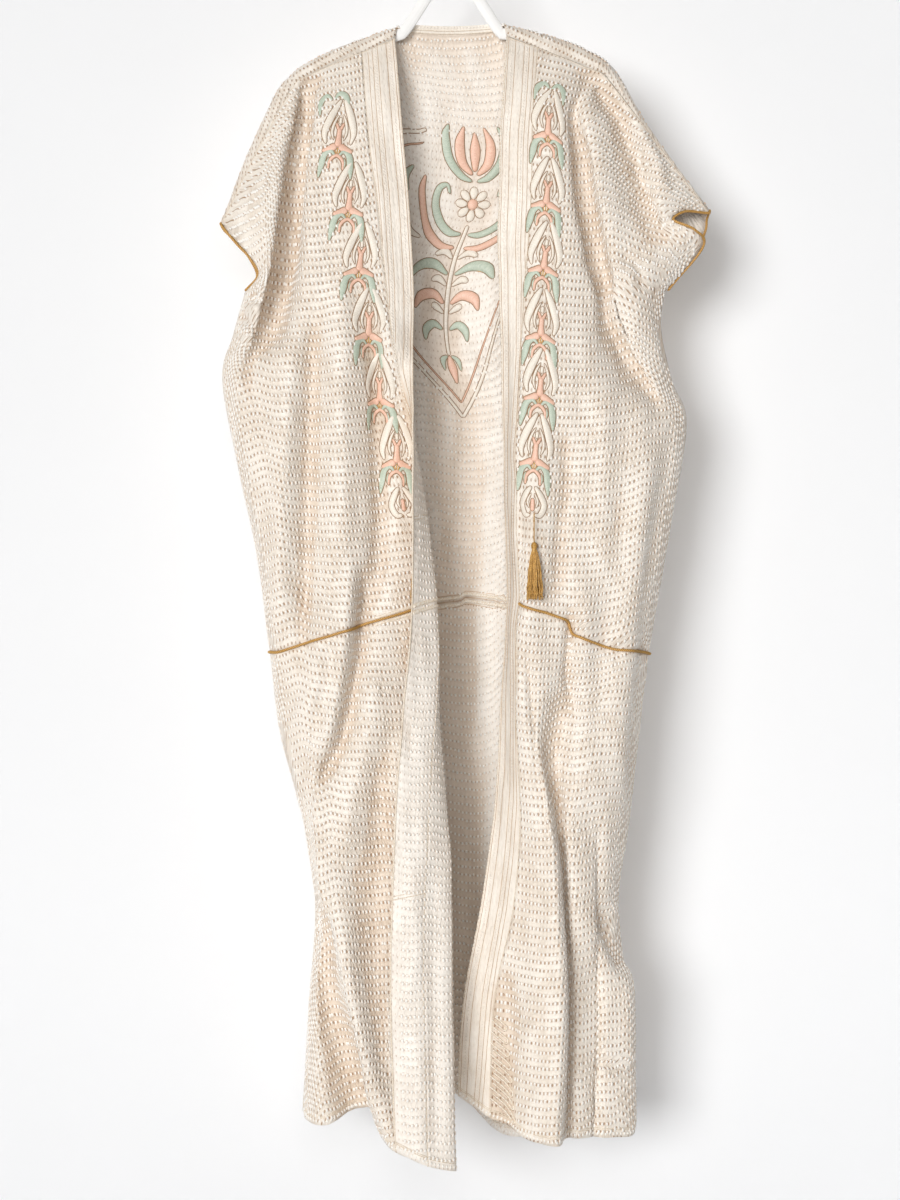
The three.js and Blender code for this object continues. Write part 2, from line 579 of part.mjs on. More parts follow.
// Tassels below the two strips of embroidery: a short cord, a head and a flattened skirt of
// threads, hanging just clear of the cloth. drop is where the cord starts. The left one hangs
// in the fold behind the turned edge, squeezed to a share of its size across and turned in it.
const tassels = {
  left: { x: -43.5, drop: 606, out: 39.5, squeezed: 0.7, turned: 0.66 },
  right: { x: 97, drop: 601, out: 76, squeezed: 1, turned: 0 },
};
const tasselProfile = [      // radius and distance below the top: knob, neck, then skirt
  [0, 0], [3, 1], [4.5, 4], [4, 8], [3, 10], [5, 14], [8, 30], [11, 55], [11.5, 68], [0, 70],
];
const fallParts = 8;
const tasselSides = 12;
for (const [name, { x, drop, out, squeezed, turned }] of Object.entries(tassels)) {
  const fall = new THREE.LineCurve3(place(x, drop, out), place(x, drop + tasselCordLength, out));
  const cord = rod(fall.getPoints(fallParts), tasselCordRadius, tasselCordRadius, cordSides);
  add(`tassel_cord_${name}`, cord, goldCord);
  const profile = tasselProfile.map(([radius, below]) => new THREE.Vector2(radius, -below)).reverse();
  const skirt = new THREE.LatheGeometry(profile, tasselSides);
  skirt.rotateX(Math.PI / 2);
  skirt.scale(squeezed, squeezed * tasselFlat, 1);
  skirt.rotateZ(turned);
  const top = place(x, drop + tasselCordLength + seamGap, out);
  skirt.translate(top.x, top.y, top.z);
  add(`tassel_${name}`, skirt, goldCord);
}

export default kaftan;
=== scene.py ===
import math

import bpy
import numpy as np
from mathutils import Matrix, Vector


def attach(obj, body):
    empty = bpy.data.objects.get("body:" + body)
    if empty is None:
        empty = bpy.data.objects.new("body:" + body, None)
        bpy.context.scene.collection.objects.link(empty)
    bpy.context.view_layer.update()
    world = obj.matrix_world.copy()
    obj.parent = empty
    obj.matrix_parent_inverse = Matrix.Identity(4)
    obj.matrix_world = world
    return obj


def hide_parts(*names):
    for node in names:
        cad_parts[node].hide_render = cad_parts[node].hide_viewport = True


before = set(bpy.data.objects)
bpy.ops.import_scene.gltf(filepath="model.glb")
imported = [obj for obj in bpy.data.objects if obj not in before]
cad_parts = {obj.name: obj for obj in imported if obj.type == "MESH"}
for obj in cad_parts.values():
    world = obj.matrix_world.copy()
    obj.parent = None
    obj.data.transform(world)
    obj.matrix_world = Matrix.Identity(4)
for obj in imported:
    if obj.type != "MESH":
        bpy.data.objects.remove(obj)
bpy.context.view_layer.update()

MM = 0.001
HOOK_RISE = 125.0             # from the neck up to the inside top of the hook
UNDERARM = 5                  # numbers of the sections at the underarm, the waist seam and the hem
WAIST = 10
HEM = 15
CLOTH = 1.2                   # thickness of the cloth as seen
FACE = CLOTH / 2              # from the middle of the cloth to either face
BAND = 41.0                   # width of a front band
PIP_ALONG = 5.1               # spacing of the woven pips along a row
PIP_ROWS = 9.7                # spacing of the rows
CREASED = 1.7                 # how strongly the creases show
HELD = 12.0                   # creases and crinkle run out this far before a seam
# the fold lines across a front, those on its shoulder seam, and where they lie on the flat cloth
FOLDS = ("edge", "seam", "turn", "breast", "body", "valley", "ridge", "sleeve", "side")
SHOULDER = ("edge", "ridge", "sleeve", "side")
FRONT_ACROSS = (0, 41, 72, 115, 165, 195, 220, 262, 300)

# Each section of a front is drop, x and out. Drop is given for the edge, the ridge and the side, or
# for the edge and each line from the ridge on, or for every fold line.
LEFT_SECTIONS = (
    ((21, 36, 47, 54, 59, 65, 73, 155, 246),
     (-69, -109, -135, -150, -163, -175, -188, -235, -279),
     (6, 8, 9, 9, 9, 9, 9, 9, 6)),
    ((93, 129, 259),
     (-63, -104, -131, -154, -170, -180, -191, -229, -269),
     (22, 24, 26, 27, 25, 13, 24, 25, 14)),
    ((155, 192, 273),
     (-58, -98, -126, -155, -177, -189, -199, -227, -257),
     (26, 29, 31, 31, 28, 12, 27, 27, 13)),
    ((209, 248, 286),
     (-53, -90, -121, -154, -180, -196, -208, -225, -245),
     (28, 32, 34, 35, 31, 9, 28, 27, 12)),
    ((270, 308, 308),
     (-49, -84, -115, -151, -180, -203, -218, -226, -234),
     (30, 35, 37, 38, 34, 6, 28, 24, 10)),
    ((306, 340, 329),
     (-47, -80, -112, -149, -180, -208, -227, -240, -252),
     (31, 36, 39, 40, 36, 5, 25, 14, -5)),
    ((348, 385, 380),
     (-46, -76, -105, -146, -184, -218, -237, -254, -266),
     (32, 38, 41, 43, 39, 8, 24, 16, -4)),
    ((397, 435, 435),
     (-47, -69, -97, -141, -197, -241, -258, -271, -279),
     (36, 44, 45, 47, 41, 22, 22, 12, -2)),
    ((501, 541, 545),
     (-46, -49, -76, -124, -184, -225, -245, -254, -259),
     (64, 26, 34, 47, 45, 35, 25, 14, 0)),
    ((608, 650, 648),
     (-46, -30, -59, -110, -172, -205, -223, -232, -237),
     (64, 29, 34, 47, 46, 36, 25, 14, 0)),
    ((715, 765, 766),
     (-48, -19, -41, -101, -158, -188, -207, -217, -221),
     (66, 38, 26, 43, 46, 38, 26, 13, 0)),
    ((822, 865, 867),
     (-56, -18, -26, -86, -156, -179, -196, -205, -208),
     (72, 52, 26, 42, 46, 37, 25, 12, 0)),
    ((939, 979, 977),
     (-66, -26, -11, -74, -157, -168, -175, -178, -178),
     (84, 72, 44, 40, 50, 36, 22, 10, 0)),
    ((1056, 1075, 1075),
     (-71, -31, -1, -60, -148, -157, -163, -166, -166),
     (92, 90, 66, 42, 60, 36, 18, 6, -4)),
    ((1173, 1190, 1197),
     (-73, -33, 0, -43, -128, -147, -163, -172, -174),
     (97, 99, 80, 48, 72, 28, 30, 12, -6)),
    ((1348, 1365, 1374, 1372, 1352, 1322, 1334, 1333, 1326),
     (-67, -28, 4, -24, -71, -109, -150, -174, -182),
     (100, 108, 92, 60, 80, 15, 32, 14, -12)),)
RIGHT_SECTIONS = (
    ((18, 31, 42, 50, 55, 58, 65, 135, 232),
     (66, 104, 129, 149, 163, 174, 185, 238, 311),
     (6, 8, 9, 9, 9, 9, 9, 9, 6)),
    ((87, 120, 233),
     (62, 98, 116, 129, 139, 148, 161, 208, 280),
     (22, 28, 31, 31, 27, 17, 27, 18, 22)),
    ((143, 178, 228, 247),
     (58, 96, 115, 132, 145, 155, 169, 228, 264),
     (26, 34, 38, 38, 33, 19, 33, 21, 34)),
    ((203, 238, 266, 260),
     (57, 95, 113, 137, 154, 166, 181, 240, 290),
     (28, 39, 43, 43, 37, 22, 37, 26, 35)),
    ((270, 303, 277),
     (55, 91, 109, 139, 166, 180, 191, 236, 301),
     (30, 43, 48, 48, 40, 22, 36, 34, 18)),
    ((312, 345, 329),
     (57, 87, 106, 136, 167, 181, 192, 230, 258),
     (31, 46, 51, 50, 42, 22, 37, 28, 0)),
    ((354, 392, 374),
     (58, 85, 105, 135, 169, 193, 209, 236, 254),
     (31, 48, 53, 52, 42, 19, 33, 21, 0)),
    ((402, 443, 438),
     (60, 82, 104, 136, 179, 217, 241, 258, 268),
     (31, 50, 56, 55, 46, 22, 28, 14, 0)),
    ((453, 492, 489),
     (61, 80, 102, 138, 191, 235, 262, 278, 285),
     (30, 53, 59, 58, 52, 40, 27, 12, 0)),
    ((570, 607, 606),
     (64, 74, 96, 134, 186, 225, 248, 262, 267),
     (26, 58, 66, 62, 54, 43, 29, 13, 0)),
    ((703, 764, 768),
     (66, 76, 92, 128, 177, 207, 225, 236, 239),
     (26, 62, 70, 63, 54, 43, 28, 12, 0)),
    ((823, 879, 879),
     (60, 76, 88, 104, 126, 174, 205, 221, 226),
     (30, 62, 74, 74, 50, 55, 36, 15, 0)),
    ((944, 980, 983),
     (52, 81, 99, 118, 131, 174, 194, 209, 214),
     (32, 60, 75, 82, 43, 54, 36, 15, 0)),
    ((1064, 1074, 1074),
     (36, 74, 103, 126, 137, 172, 190, 200, 202),
     (34, 57, 75, 86, 41, 52, 32, 12, -2)),
    ((1184, 1199, 1203),
     (14, 50, 94, 131, 142, 177, 198, 213, 217),
     (30, 45, 73, 88, 39, 50, 31, 10, -8)),
    ((1300, 1325, 1343, 1348, 1347, 1348, 1349, 1345, 1297),
     (7, 46, 87, 124, 139, 170, 192, 212, 220),
     (24, 36, 62, 80, 38, 46, 30, 4, -15)),)

# the back's fold lines as shares of its width, its depth and its flutes there
BACK_SHARE = (0, 0.05, 0.15, 0.33, 0.41, 0.5, 0.59, 0.67, 0.85, 0.95, 1)
BACK_WIDTH = 560.0
BACK_SHAPE = (0, 0.45, 0.92, 1, 1, 1, 1, 1, 0.92, 0.45, 0)
BACK_FLUTE = (0, 0, -0.8, 0.9, -0.2, -0.9, 0.3, 1, -0.7, 0.2, 0)
OVER_HANGER = (
    ((-280, 243, 0), (-240, 142, 0), (-193, 62, 0), (-66, 6, 0), (-62, 10, -7), (0, 13, -10),
     (60, 9, -7), (63, 3, 0), (187, 48, 0), (243, 134, 0), (312, 228, 0)),
    ((-277, 250, -8), (-238, 158, -11), (-190, 80, -11), (-67, 22, -9), (-60, 24, -12),
     (0, 28, -14), (58, 23, -12), (64, 19, -9), (184, 66, -11), (240, 148, -11), (309, 238, -8)),
)
NECKLINE = ((-64, 12, -5), (0, 14, -10), (62, 11, -5))
# drop at the spine, depth behind the hanger, height of the flutes, and the back edge of each
# sleeve mouth while a section still crosses it
BACK_SECTIONS = (
    (110, 21, 1, (-259, 267, -11), (308, 250, -12)),
    (165, 25, 2, (-244, 287, -13), (301, 268, -14)),
    (228, 28, 3, (-236, 309, -11), (283, 297, -11)),
    (285, 30, 4), (335, 31, 5), (390, 32, 6), (470, 34, 7), (590, 36, 8), (700, 38, 9),
    (820, 40, 10), (945, 42, 12), (1065, 44, 14), (1185, 46, 16),
    ((1326, 1331, 1322, 1310, 1306, 1327, 1358, 1362, 1335, 1316, 1297), 48, 18),
)


# ---- camera, light and stage -----------------------------------------------------------
def add_light(name, place, aim, size, strength, colour=(1, 1, 1), far=False):
    """A round soft light, or one so far away that it falls evenly, with size as its angle."""
    data = bpy.data.lights.new(name, "SUN" if far else "AREA")
    if far:
        data.angle = size
    else:
        data.shape = "DISK"
        data.size = size
    data.energy = strength
    data.color = colour
    light = bpy.data.objects.new(name, data)
    bpy.context.scene.collection.objects.link(light)
    light.location = place
    light.rotation_euler = (Vector(aim) - Vector(place)).to_track_quat("-Z", "Y").to_euler()


def add_camera(place, lens):
    """A camera that looks level at the garment's front."""
    data = bpy.data.cameras.new("camera")
    data.sensor_width = 36
    data.lens = lens
    camera = bpy.data.objects.new("camera", data)
    bpy.context.scene.collection.objects.link(camera)
    camera.location = place
    camera.rotation_euler = (math.radians(90), 0, 0)
    bpy.context.scene.camera = camera


add_camera(place=(-0.0024, -2.7, -0.828), lens=66.6)
add_light("key", place=(-3.45, -6.97, 0.09), aim=(0, 0, -0.75), size=0.46, strength=2.0,
          colour=(1, 0.99, 0.975), far=True)
add_light("fill", place=(-0.2, -4.2, 0.1), aim=(0, 0, -0.7), size=2.4, strength=43, colour=(1, 0.965, 0.925))
add_light("rear", place=(0.9, 2.4, 0.2), aim=(0, 0, -0.8), size=2.0, strength=30)
bpy.context.scene.view_settings.view_transform = "Standard"


# ---- skins -----------------------------------------------------------------------------
def through(knots, values, at, steady=None):
    """A smooth curve through values at knots, at each place in at. steady keeps a long pull of
    one span from swinging a short neighbour about."""
    knots = np.asarray(knots, float)
    values = np.asarray(values, float)
    at = np.asarray(at, float)
    last = len(knots) - 1
    low = np.maximum(np.arange(last + 1) - 1, 0)
    high = np.minimum(np.arange(last + 1) + 1, last)
    tall = (-1,) + (1,) * (values.ndim - 1)
    slope = (values[high] - values[low]) / (knots[high] - knots[low]).reshape(tall)
    k = np.clip(np.searchsorted(knots, at) - 1, 0, last - 1)
    span = (knots[k + 1] - knots[k]).reshape(tall)
    s = (at - knots[k]).reshape(tall) / span
    pulls = [slope[k] * span, slope[k + 1] * span]
    if steady:
        chord = np.linalg.norm(values[k + 1] - values[k], axis=-1, keepdims=True)
        for pull in pulls:
            size = np.linalg.norm(pull, axis=-1, keepdims=True)
            pull *= np.minimum(1, steady * chord / np.maximum(size, 1e-9))
    return ((2 * s**3 - 3 * s**2 + 1) * values[k] + (s**3 - 2 * s**2 + s) * pulls[0]
            + (3 * s**2 - 2 * s**3) * values[k + 1] + (s**3 - s**2) * pulls[1])


def place(x, drop, out):
    """A point in millimetres from its x, its drop below the neck and how far out it is."""
    return np.array([x, -out, -(HOOK_RISE + drop)], float)


class Skin:
    """The smooth surface through a table of sections. facing is 1 where across and then down
    turns about the outward normal."""

    def __init__(self, across, rows, facing, first_row, seams, lead, shoulder):
        self.across = np.array(across, float)
        self.rows = np.array(rows, float)
        self.facing = facing
        self.first_row = first_row
        self.seams = seams
        self.lead = lead                  # cloth above the first row, at each fold line
        self.shoulder = shoulder          # the corners of the straight shoulder seams

    def grid(self, cs, ts):
        knots = np.arange(len(self.rows)) + self.first_row
        under = UNDERARM - self.first_row
        lines = np.empty((len(self.across), len(ts), 3))
        for line in range(len(self.across)):
            values = self.rows[:, line]
            if line in self.seams:
                high = ts < UNDERARM
                lines[line][high] = through(knots[:under + 1], values[:under + 1], ts[high])
                lines[line][~high] = through(knots[under:], values[under:], ts[~high])
            else:
                lines[line] = through(knots, values, ts)
        points = through(self.across, lines, cs, steady=1.5)
        # the first row lies on the straight seam, and what follows within half a row runs into it
        for j, t in enumerate(ts):
            share = 1 - (t - self.first_row) / 0.5
            if share > 0:
                points[:, j] += share * (self.on_seam(points[:, 0]) - points[:, 0])
        return points

    def on_seam(self, points):
        moved = points.copy()
        for corners in self.shoulder:
            corners = corners[np.argsort(corners[:, 0])]
            inside = (points[:, 0] >= corners[0, 0] - 0.5) & (points[:, 0] <= corners[-1, 0] + 0.5)
            for axis in (1, 2):
                moved[inside, axis] = np.interp(points[inside, 0], corners[:, 0], corners[:, axis])
        return moved


def front_rows(sections):
    """The points of a front's sections, a row for each."""
    ridge, side = FOLDS.index("ridge"), FOLDS.index("side")
    rows = []
    for drop, x, out in sections:
        row = []
        for line in range(len(FOLDS)):
            if len(drop) == len(FOLDS):
                level = drop[line]
            elif line <= ridge:
                level = drop[0] + (drop[1] - drop[0]) * (x[line] - x[0]) / (x[ridge] - x[0])
            elif len(drop) == 4:
                level = drop[line - ridge + 1]
            else:
                share = (x[line] - x[ridge]) / (x[side] - x[ridge])
                level = drop[1] + (drop[-1] - drop[1]) * share
            row.append(place(x[line], level, out[line]))
        rows.append(row)
    return np.array(rows)


FRONT_LEAD = (0, 4, 8, 11, 13, 16, 19, 51, 122)
BACK_LEAD = (122, 51, 19, 5, 0, 0, 0, 5, 19, 51, 122)


def seam_corners(rows):
    """The corners of a front's shoulder seam."""
    return rows[0, [FOLDS.index(line) for line in SHOULDER]]


def front_skin(sections, facing):
    rows = front_rows(sections)
    return Skin(FRONT_ACROSS, rows, facing, 0, (FOLDS.index("side"),), FRONT_LEAD, [seam_corners(rows)])


def back_skin(left, right):
    """The back's skin, hung between the side seams and shoulder seams of the two fronts."""
    seam_left, seam_right = left.shoulder[0], right.shoulder[0]
    rows = [[*seam_left[::-1], *[place(*p) for p in NECKLINE], *seam_right]]
    rows += [[place(*p) for p in row] for row in OVER_HANGER]
    last = len(BACK_SHARE) - 1
    side = FOLDS.index("side")
    for k, (drop, depth, flute, *mouths) in enumerate(BACK_SECTIONS):
        ends = [place(*p) for p in mouths] or [left.rows[k + 2, side], right.rows[k + 2, side]]
        row = []
        for line, share in enumerate(BACK_SHARE):
            point = ends[0] + (ends[1] - ends[0]) * share
            if 0 < line < last:
                side_drop = -point[2] - HOOK_RISE
                sag = 1 - abs(2 * share - 1) ** 1.5
                level = drop[line] if isinstance(drop, tuple) else side_drop + (drop - side_drop) * sag
                point = place(point[0], level, -depth * BACK_SHAPE[line] + flute * BACK_FLUTE[line])
            row.append(point)
        rows.append(row)
    across = [share * BACK_WIDTH for share in BACK_SHARE]
    return Skin(across, rows, 1, -1, (0, last), BACK_LEAD, [seam_left, seam_right])


def outward(points, facing):
    """The outward normal at each point of a grid."""
    normal = np.cross(np.gradient(points, axis=0), np.gradient(points, axis=1)) * facing
    return normal / np.maximum(np.linalg.norm(normal, axis=-1, keepdims=True), 1e-12)


def crease_field(x, drop, creases):
    """How far creases press the cloth in (above 0) or lift it, at points given by x and drop. A
    crease is a line of (x, drop), a depth, and a width on its left and on its right."""
    total = np.zeros_like(x)
    for line, depth, left, right in creases:
        best = np.full(x.shape, 1e9)
        side = np.zeros_like(x)
        share = np.zeros_like(x)
        line = np.array(line, float)
        reach = np.concatenate([[0], np.cumsum(np.linalg.norm(np.diff(line, axis=0), axis=1))])
        for k in range(len(line) - 1):
            step = line[k + 1] - line[k]
            s = np.clip(((x - line[k, 0]) * step[0] + (drop - line[k, 1]) * step[1]) / (step @ step), 0, 1)
            dx, dy = x - line[k, 0] - s * step[0], drop - line[k, 1] - s * step[1]
            away = np.hypot(dx, dy)
            near = away < best
            best = np.where(near, away, best)
            side = np.where(near, dx * step[1] - dy * step[0], side)
            share = np.where(near, (reach[k] + s * (reach[k + 1] - reach[k])) / reach[-1], share)
        width = np.where(side * np.sign(line[-1, 1] - line[0, 1] + 1e-6) < 0, left, right)
        fade = np.clip(np.minimum(share, 1 - share) / 0.22, 0, 1)
        total += depth * np.exp(-(best / width) ** 2) * ease(fade)
    return total


def ease(share):
    """0 to 1 with a soft start and a soft end."""
    share = np.clip(share, 0, 1)
    return share * share * (3 - 2 * share)


def softened(grid, reach):
    """The grid with each point the mean of those up to reach away, three times over."""
    for _ in range(3):
        for axis in (0, 1):
            padded = np.pad(grid, [(reach, reach) if k == axis else (0, 0) for k in range(grid.ndim)], "edge")
            run = np.cumsum(padded, axis=axis)
            run = np.concatenate([np.zeros_like(run.take([0], axis)), run], axis=axis)
            size, window = grid.shape[axis], 2 * reach + 1
            grid = (run.take(range(window, window + size), axis) - run.take(range(size), axis)) / window
    return grid


def slipped(points, slips):
    """The grid with the cloth pulled down or up along itself about a seam."""
    points = points.copy()
    down = np.gradient(points, axis=1)
    down /= np.linalg.norm(down, axis=-1, keepdims=True)
    for x0, x1, x2, x3, drop, far, felt in slips:
        x, level = points[..., 0], -points[..., 2] - HOOK_RISE
        share = ease((x - x0) / (x1 - x0)) * (1 - ease((x - x2) / (x3 - x2))) * (1 - ease(abs(level - drop) / felt))
        points += down * (far * share)[..., None]
    return points


class Cloth:
    """A fine grid on a skin, with its creases, its outward normals, and the cloth's own measure
    across (u) and down (v) at each point."""

    def __init__(self, skin, cs, ts, middle, creases=(), relief=None, seed=1, sewn=(-1,), slips=()):
        self.skin, self.cs, self.ts = skin, cs, ts
        self.waist, self.hem, self.side = self.at_t(WAIST), len(ts) - 1, len(cs) - 1
        flat = slipped(skin.grid(cs, ts), slips)
        normal = outward(flat, skin.facing)
        self.measure(flat, middle)
        x, drop = flat[..., 0], -flat[..., 2] - HOOK_RISE
        # the shoulder and side seams hold the cloth, so creases run out before them
        free = (self.v - self.v[:, :1]) / HELD
        for end in sewn:
            free = np.minimum(free, abs(self.u - self.u[end]) / HELD)
        free = np.clip(free, 0, 1)
        moved = (self.pucker(seed) - CREASED * crease_field(x, drop, creases)) * ease(free)
        if relief is not None:
            moved = moved + relief(self)
        self.place = flat + normal * moved[..., None]
        self.measure(self.place, middle)
        self.out = outward(self.place, skin.facing)
        # how far the cloth lies below the cloth round it: 1 in a deep fold, below 0 on a crest; the cotton paints
        # shade into its folds from this
        below = sum(((softened(self.place, reach) - self.place) * self.out).sum(-1) / depth
                    for reach, depth in ((3, 3.0), (7, 9.0)))
        self.hollow = np.clip(below, -1, 1)

    def measure(self, points, middle):
        """Measures along the cloth: u across from the column nearest middle, and v down from the
        shoulder seam."""
        across = np.linalg.norm(np.diff(points, axis=0), axis=-1)
        down = np.linalg.norm(np.diff(points, axis=1), axis=-1)
        u = np.concatenate([np.zeros((1, len(self.ts))), np.cumsum(across, axis=0)])
        centre = int(np.argmin(abs(self.cs - middle)))
        self.u = u - u[centre]
        lead = np.interp(self.cs, self.skin.across, self.skin.lead)
        v = np.concatenate([np.zeros((len(self.cs), 1)), np.cumsum(down, axis=1)], axis=1)
        self.v = v + lead[:, None]

    def pucker(self, seed):
        """The crinkle of soft cotton: short uneven waves, longer down the cloth than across."""
        rng = np.random.default_rng(seed)
        total = np.zeros_like(self.u)
        for _ in range(26):
            angle = rng.normal(0, 0.35)
            length = rng.uniform(14, 46)
            phase = rng.uniform(0, 2 * math.pi)
            along = self.u * math.cos(angle) + self.v * math.sin(angle) * 0.6
            gate = 0.5 + 0.5 * np.sin(self.v / rng.uniform(50, 130) + self.u / rng.uniform(60, 160) + phase * 3)
            total += length / 46 * gate * np.sin(2 * math.pi * along / length + phase)
        return 0.25 * total

    def column(self, c):
        """The place among the grid's columns at c on the flat cloth."""
        return float(np.interp(c, self.cs, np.arange(len(self.cs))))

    def row(self, t):
        """The place among the grid's rows at section t."""
        return float(np.interp(t, self.ts, np.arange(len(self.ts))))

    def at_c(self, c):
        """The column nearest c."""
        return int(np.argmin(abs(self.cs - c)))

    def at_t(self, t):
        """The row nearest section t."""
        return int(np.argmin(abs(self.ts - t)))

    def sample(self, field, i, j):
        """A field of the grid at places between its points."""
        i = np.clip(i, 0, field.shape[0] - 1.001)
        j = np.clip(j, 0, field.shape[1] - 1.001)
        a, b = i.astype(int), j.astype(int)
        s, t = i - a, j - b
        if field.ndim == 3:
            s, t = s[..., None], t[..., None]
        return ((1 - s) * (1 - t) * field[a, b] + s * (1 - t) * field[a + 1, b]
                + (1 - s) * t * field[a, b + 1] + s * t * field[a + 1, b + 1])

    def find(self, u, v):
        """Grid places of the points with cloth measures u and v."""
        u, v = np.asarray(u, float), np.asarray(v, float)
        centre = int(np.argmin(abs(self.u[:, 0])))
        j = np.interp(v, self.v[centre], np.arange(len(self.ts)))
        i = np.full(u.shape, float(centre))
        slopes = [*np.gradient(self.u), *np.gradient(self.v)]
        for _ in range(30):
            a, b, c, d = (self.sample(field, i, j) for field in slopes)
            du, dv = u - self.sample(self.u, i, j), v - self.sample(self.v, i, j)
            det = a * d - b * c
            det = np.where(abs(det) < 1e-6, 1e-6, det)
            i = np.clip(i + np.clip((du * d - dv * b) / det, -5, 5), 0, len(self.cs) - 1.001)
            j = np.clip(j + np.clip((dv * a - du * c) / det, -8, 8), 0, len(self.ts) - 1.001)
        return i, j

    def rows_at(self, i, level):
        """Grid rows where columns i reach level in the cloth's measure down."""
        return np.array([np.interp(v, self.v[int(round(a))], np.arange(len(self.ts))) for a, v in zip(i, level)])

    def lift(self, i, j, height):
        """Points at grid places, height above the middle of the cloth."""
        return self.sample(self.place, i, j) + self.sample(self.out, i, j) * np.asarray(height)[..., None]

    def frames(self, i, j, face=1, slant=0.0):
        """Turns, as Euler angles, that set x across the cloth and z out of its outer face (or the
        inner one where face is -1), with y leaning by slant."""
        across = self.sample(self.place, i + 0.5, j) - self.sample(self.place, i - 0.5, j)
        out = self.sample(self.out, i, j) * face
        out /= np.linalg.norm(out, axis=-1, keepdims=True)
        across -= out * (across * out).sum(-1, keepdims=True)
        across /= np.linalg.norm(across, axis=-1, keepdims=True)
        down = np.cross(out, across)
        across = across * math.cos(slant) + down * math.sin(slant)
        return euler(across, np.cross(out, across), out)

    def woven_rows(self, i0, i1):
        """Grid places where the woven rows cross the woven columns, between columns i0 and i1."""
        columns = np.arange(i0, i1 + 1)
        rows = np.arange(len(self.ts))
        found = []
        for row in range(1, int(self.v.max() / PIP_ROWS)):
            level = row * PIP_ROWS
            lines = np.array([np.interp(level, self.v[i], rows, left=-1, right=-1) for i in columns])
            run = lines >= 0
            if run.sum() < 3:
                continue
            u = self.sample(self.u, columns[run].astype(float), lines[run])
            first, last = sorted((u[0], u[-1]))
            across = np.arange(math.ceil((first + 2.5) / PIP_ALONG), math.floor((last - 2.5) / PIP_ALONG) + 1)
            across = across * PIP_ALONG
            i = np.interp(across, u, columns[run])
            j = np.interp(across, u, lines[run])
            inside = np.interp(i, columns, run) > 0.99
            found.append(np.stack([i, j, across, np.full(len(i), level)], axis=-1)[inside])
        return np.concatenate(found)


def euler(x, y, z):
    """Euler angles of the turn with these axes."""
    return np.stack([np.arctan2(y[..., 2], z[..., 2]), np.arcsin(np.clip(-x[..., 2], -1, 1)),
                     np.arctan2(x[..., 1], x[..., 0])], axis=-1)


# ---- meshes ----------------------------------------------------------------------------
def new_piece(name, points, faces, uv=None, slots=None, materials=(), smooth=True, hollow=None):
    """A mesh object from points in millimetres. slots numbers the material of each face."""
    mesh = bpy.data.meshes.new(name)
    mesh.from_pydata((np.asarray(points) * MM).tolist(), [], [tuple(f) for f in faces])
    if uv is not None:
        layer = mesh.uv_layers.new(name="cloth")
        corners = np.empty(len(mesh.loops), dtype=np.int64)
        mesh.loops.foreach_get("vertex_index", corners)
        layer.data.foreach_set("uv", np.asarray(uv, float)[corners].ravel())
    if hollow is not None:
        mesh.attributes.new("hollow", "FLOAT", "POINT").data.foreach_set("value", np.asarray(hollow, np.float32))
    for material in materials:
        mesh.materials.append(material)
    if slots is not None:
        mesh.polygons.foreach_set("material_index", np.asarray(slots, dtype=np.int32))
    mesh.polygons.foreach_set("use_smooth", [smooth] * len(mesh.polygons))
    mesh.update()
    piece = bpy.data.objects.new(name, mesh)
    bpy.context.scene.collection.objects.link(piece)
    return piece


def quad_grid(columns, rows):
    """The faces of a grid of points, by the numbers of their corners."""
    i, j = np.meshgrid(np.arange(columns - 1), np.arange(rows - 1), indexing="ij")
    a = i * rows + j
    return np.stack([a, a + rows, a + rows + 1, a + 1], axis=-1)


def drawn_in(points, by):
    """The grid with its rim moved inwards, so that it stays a little back from its neighbours."""
    points = points.copy()
    for grid in (points, points.transpose(1, 0, 2)):
        for end, inner in ((0, 1), (-1, -2)):
            step = grid[inner] - grid[end]
            grid[end] += step / np.linalg.norm(step, axis=-1, keepdims=True) * by
    return points


def shell(name, cloth, i0, i1, j0, j1, materials, left_out=None):
    """A panel: columns i0 to i1 and rows j0 to j1 of a cloth, without the cells for which
    left_out is true. materials are for the outer and the inner face."""
    part = np.s_[i0:i1 + 1, j0:j1 + 1]
    kept = np.ones((i1 - i0, j1 - j0), bool)
    if left_out is not None:
        i, j = np.meshgrid(np.arange(i0, i1), np.arange(j0, j1), indexing="ij")
        kept = ~left_out(i, j)
    uv = np.stack([cloth.u[part], cloth.v[part]], axis=-1)
    return wall(name, drawn_in(cloth.place[part], 0.1), cloth.out[part], uv, cloth.skin.facing, materials, kept,
                cloth.hollow[part])


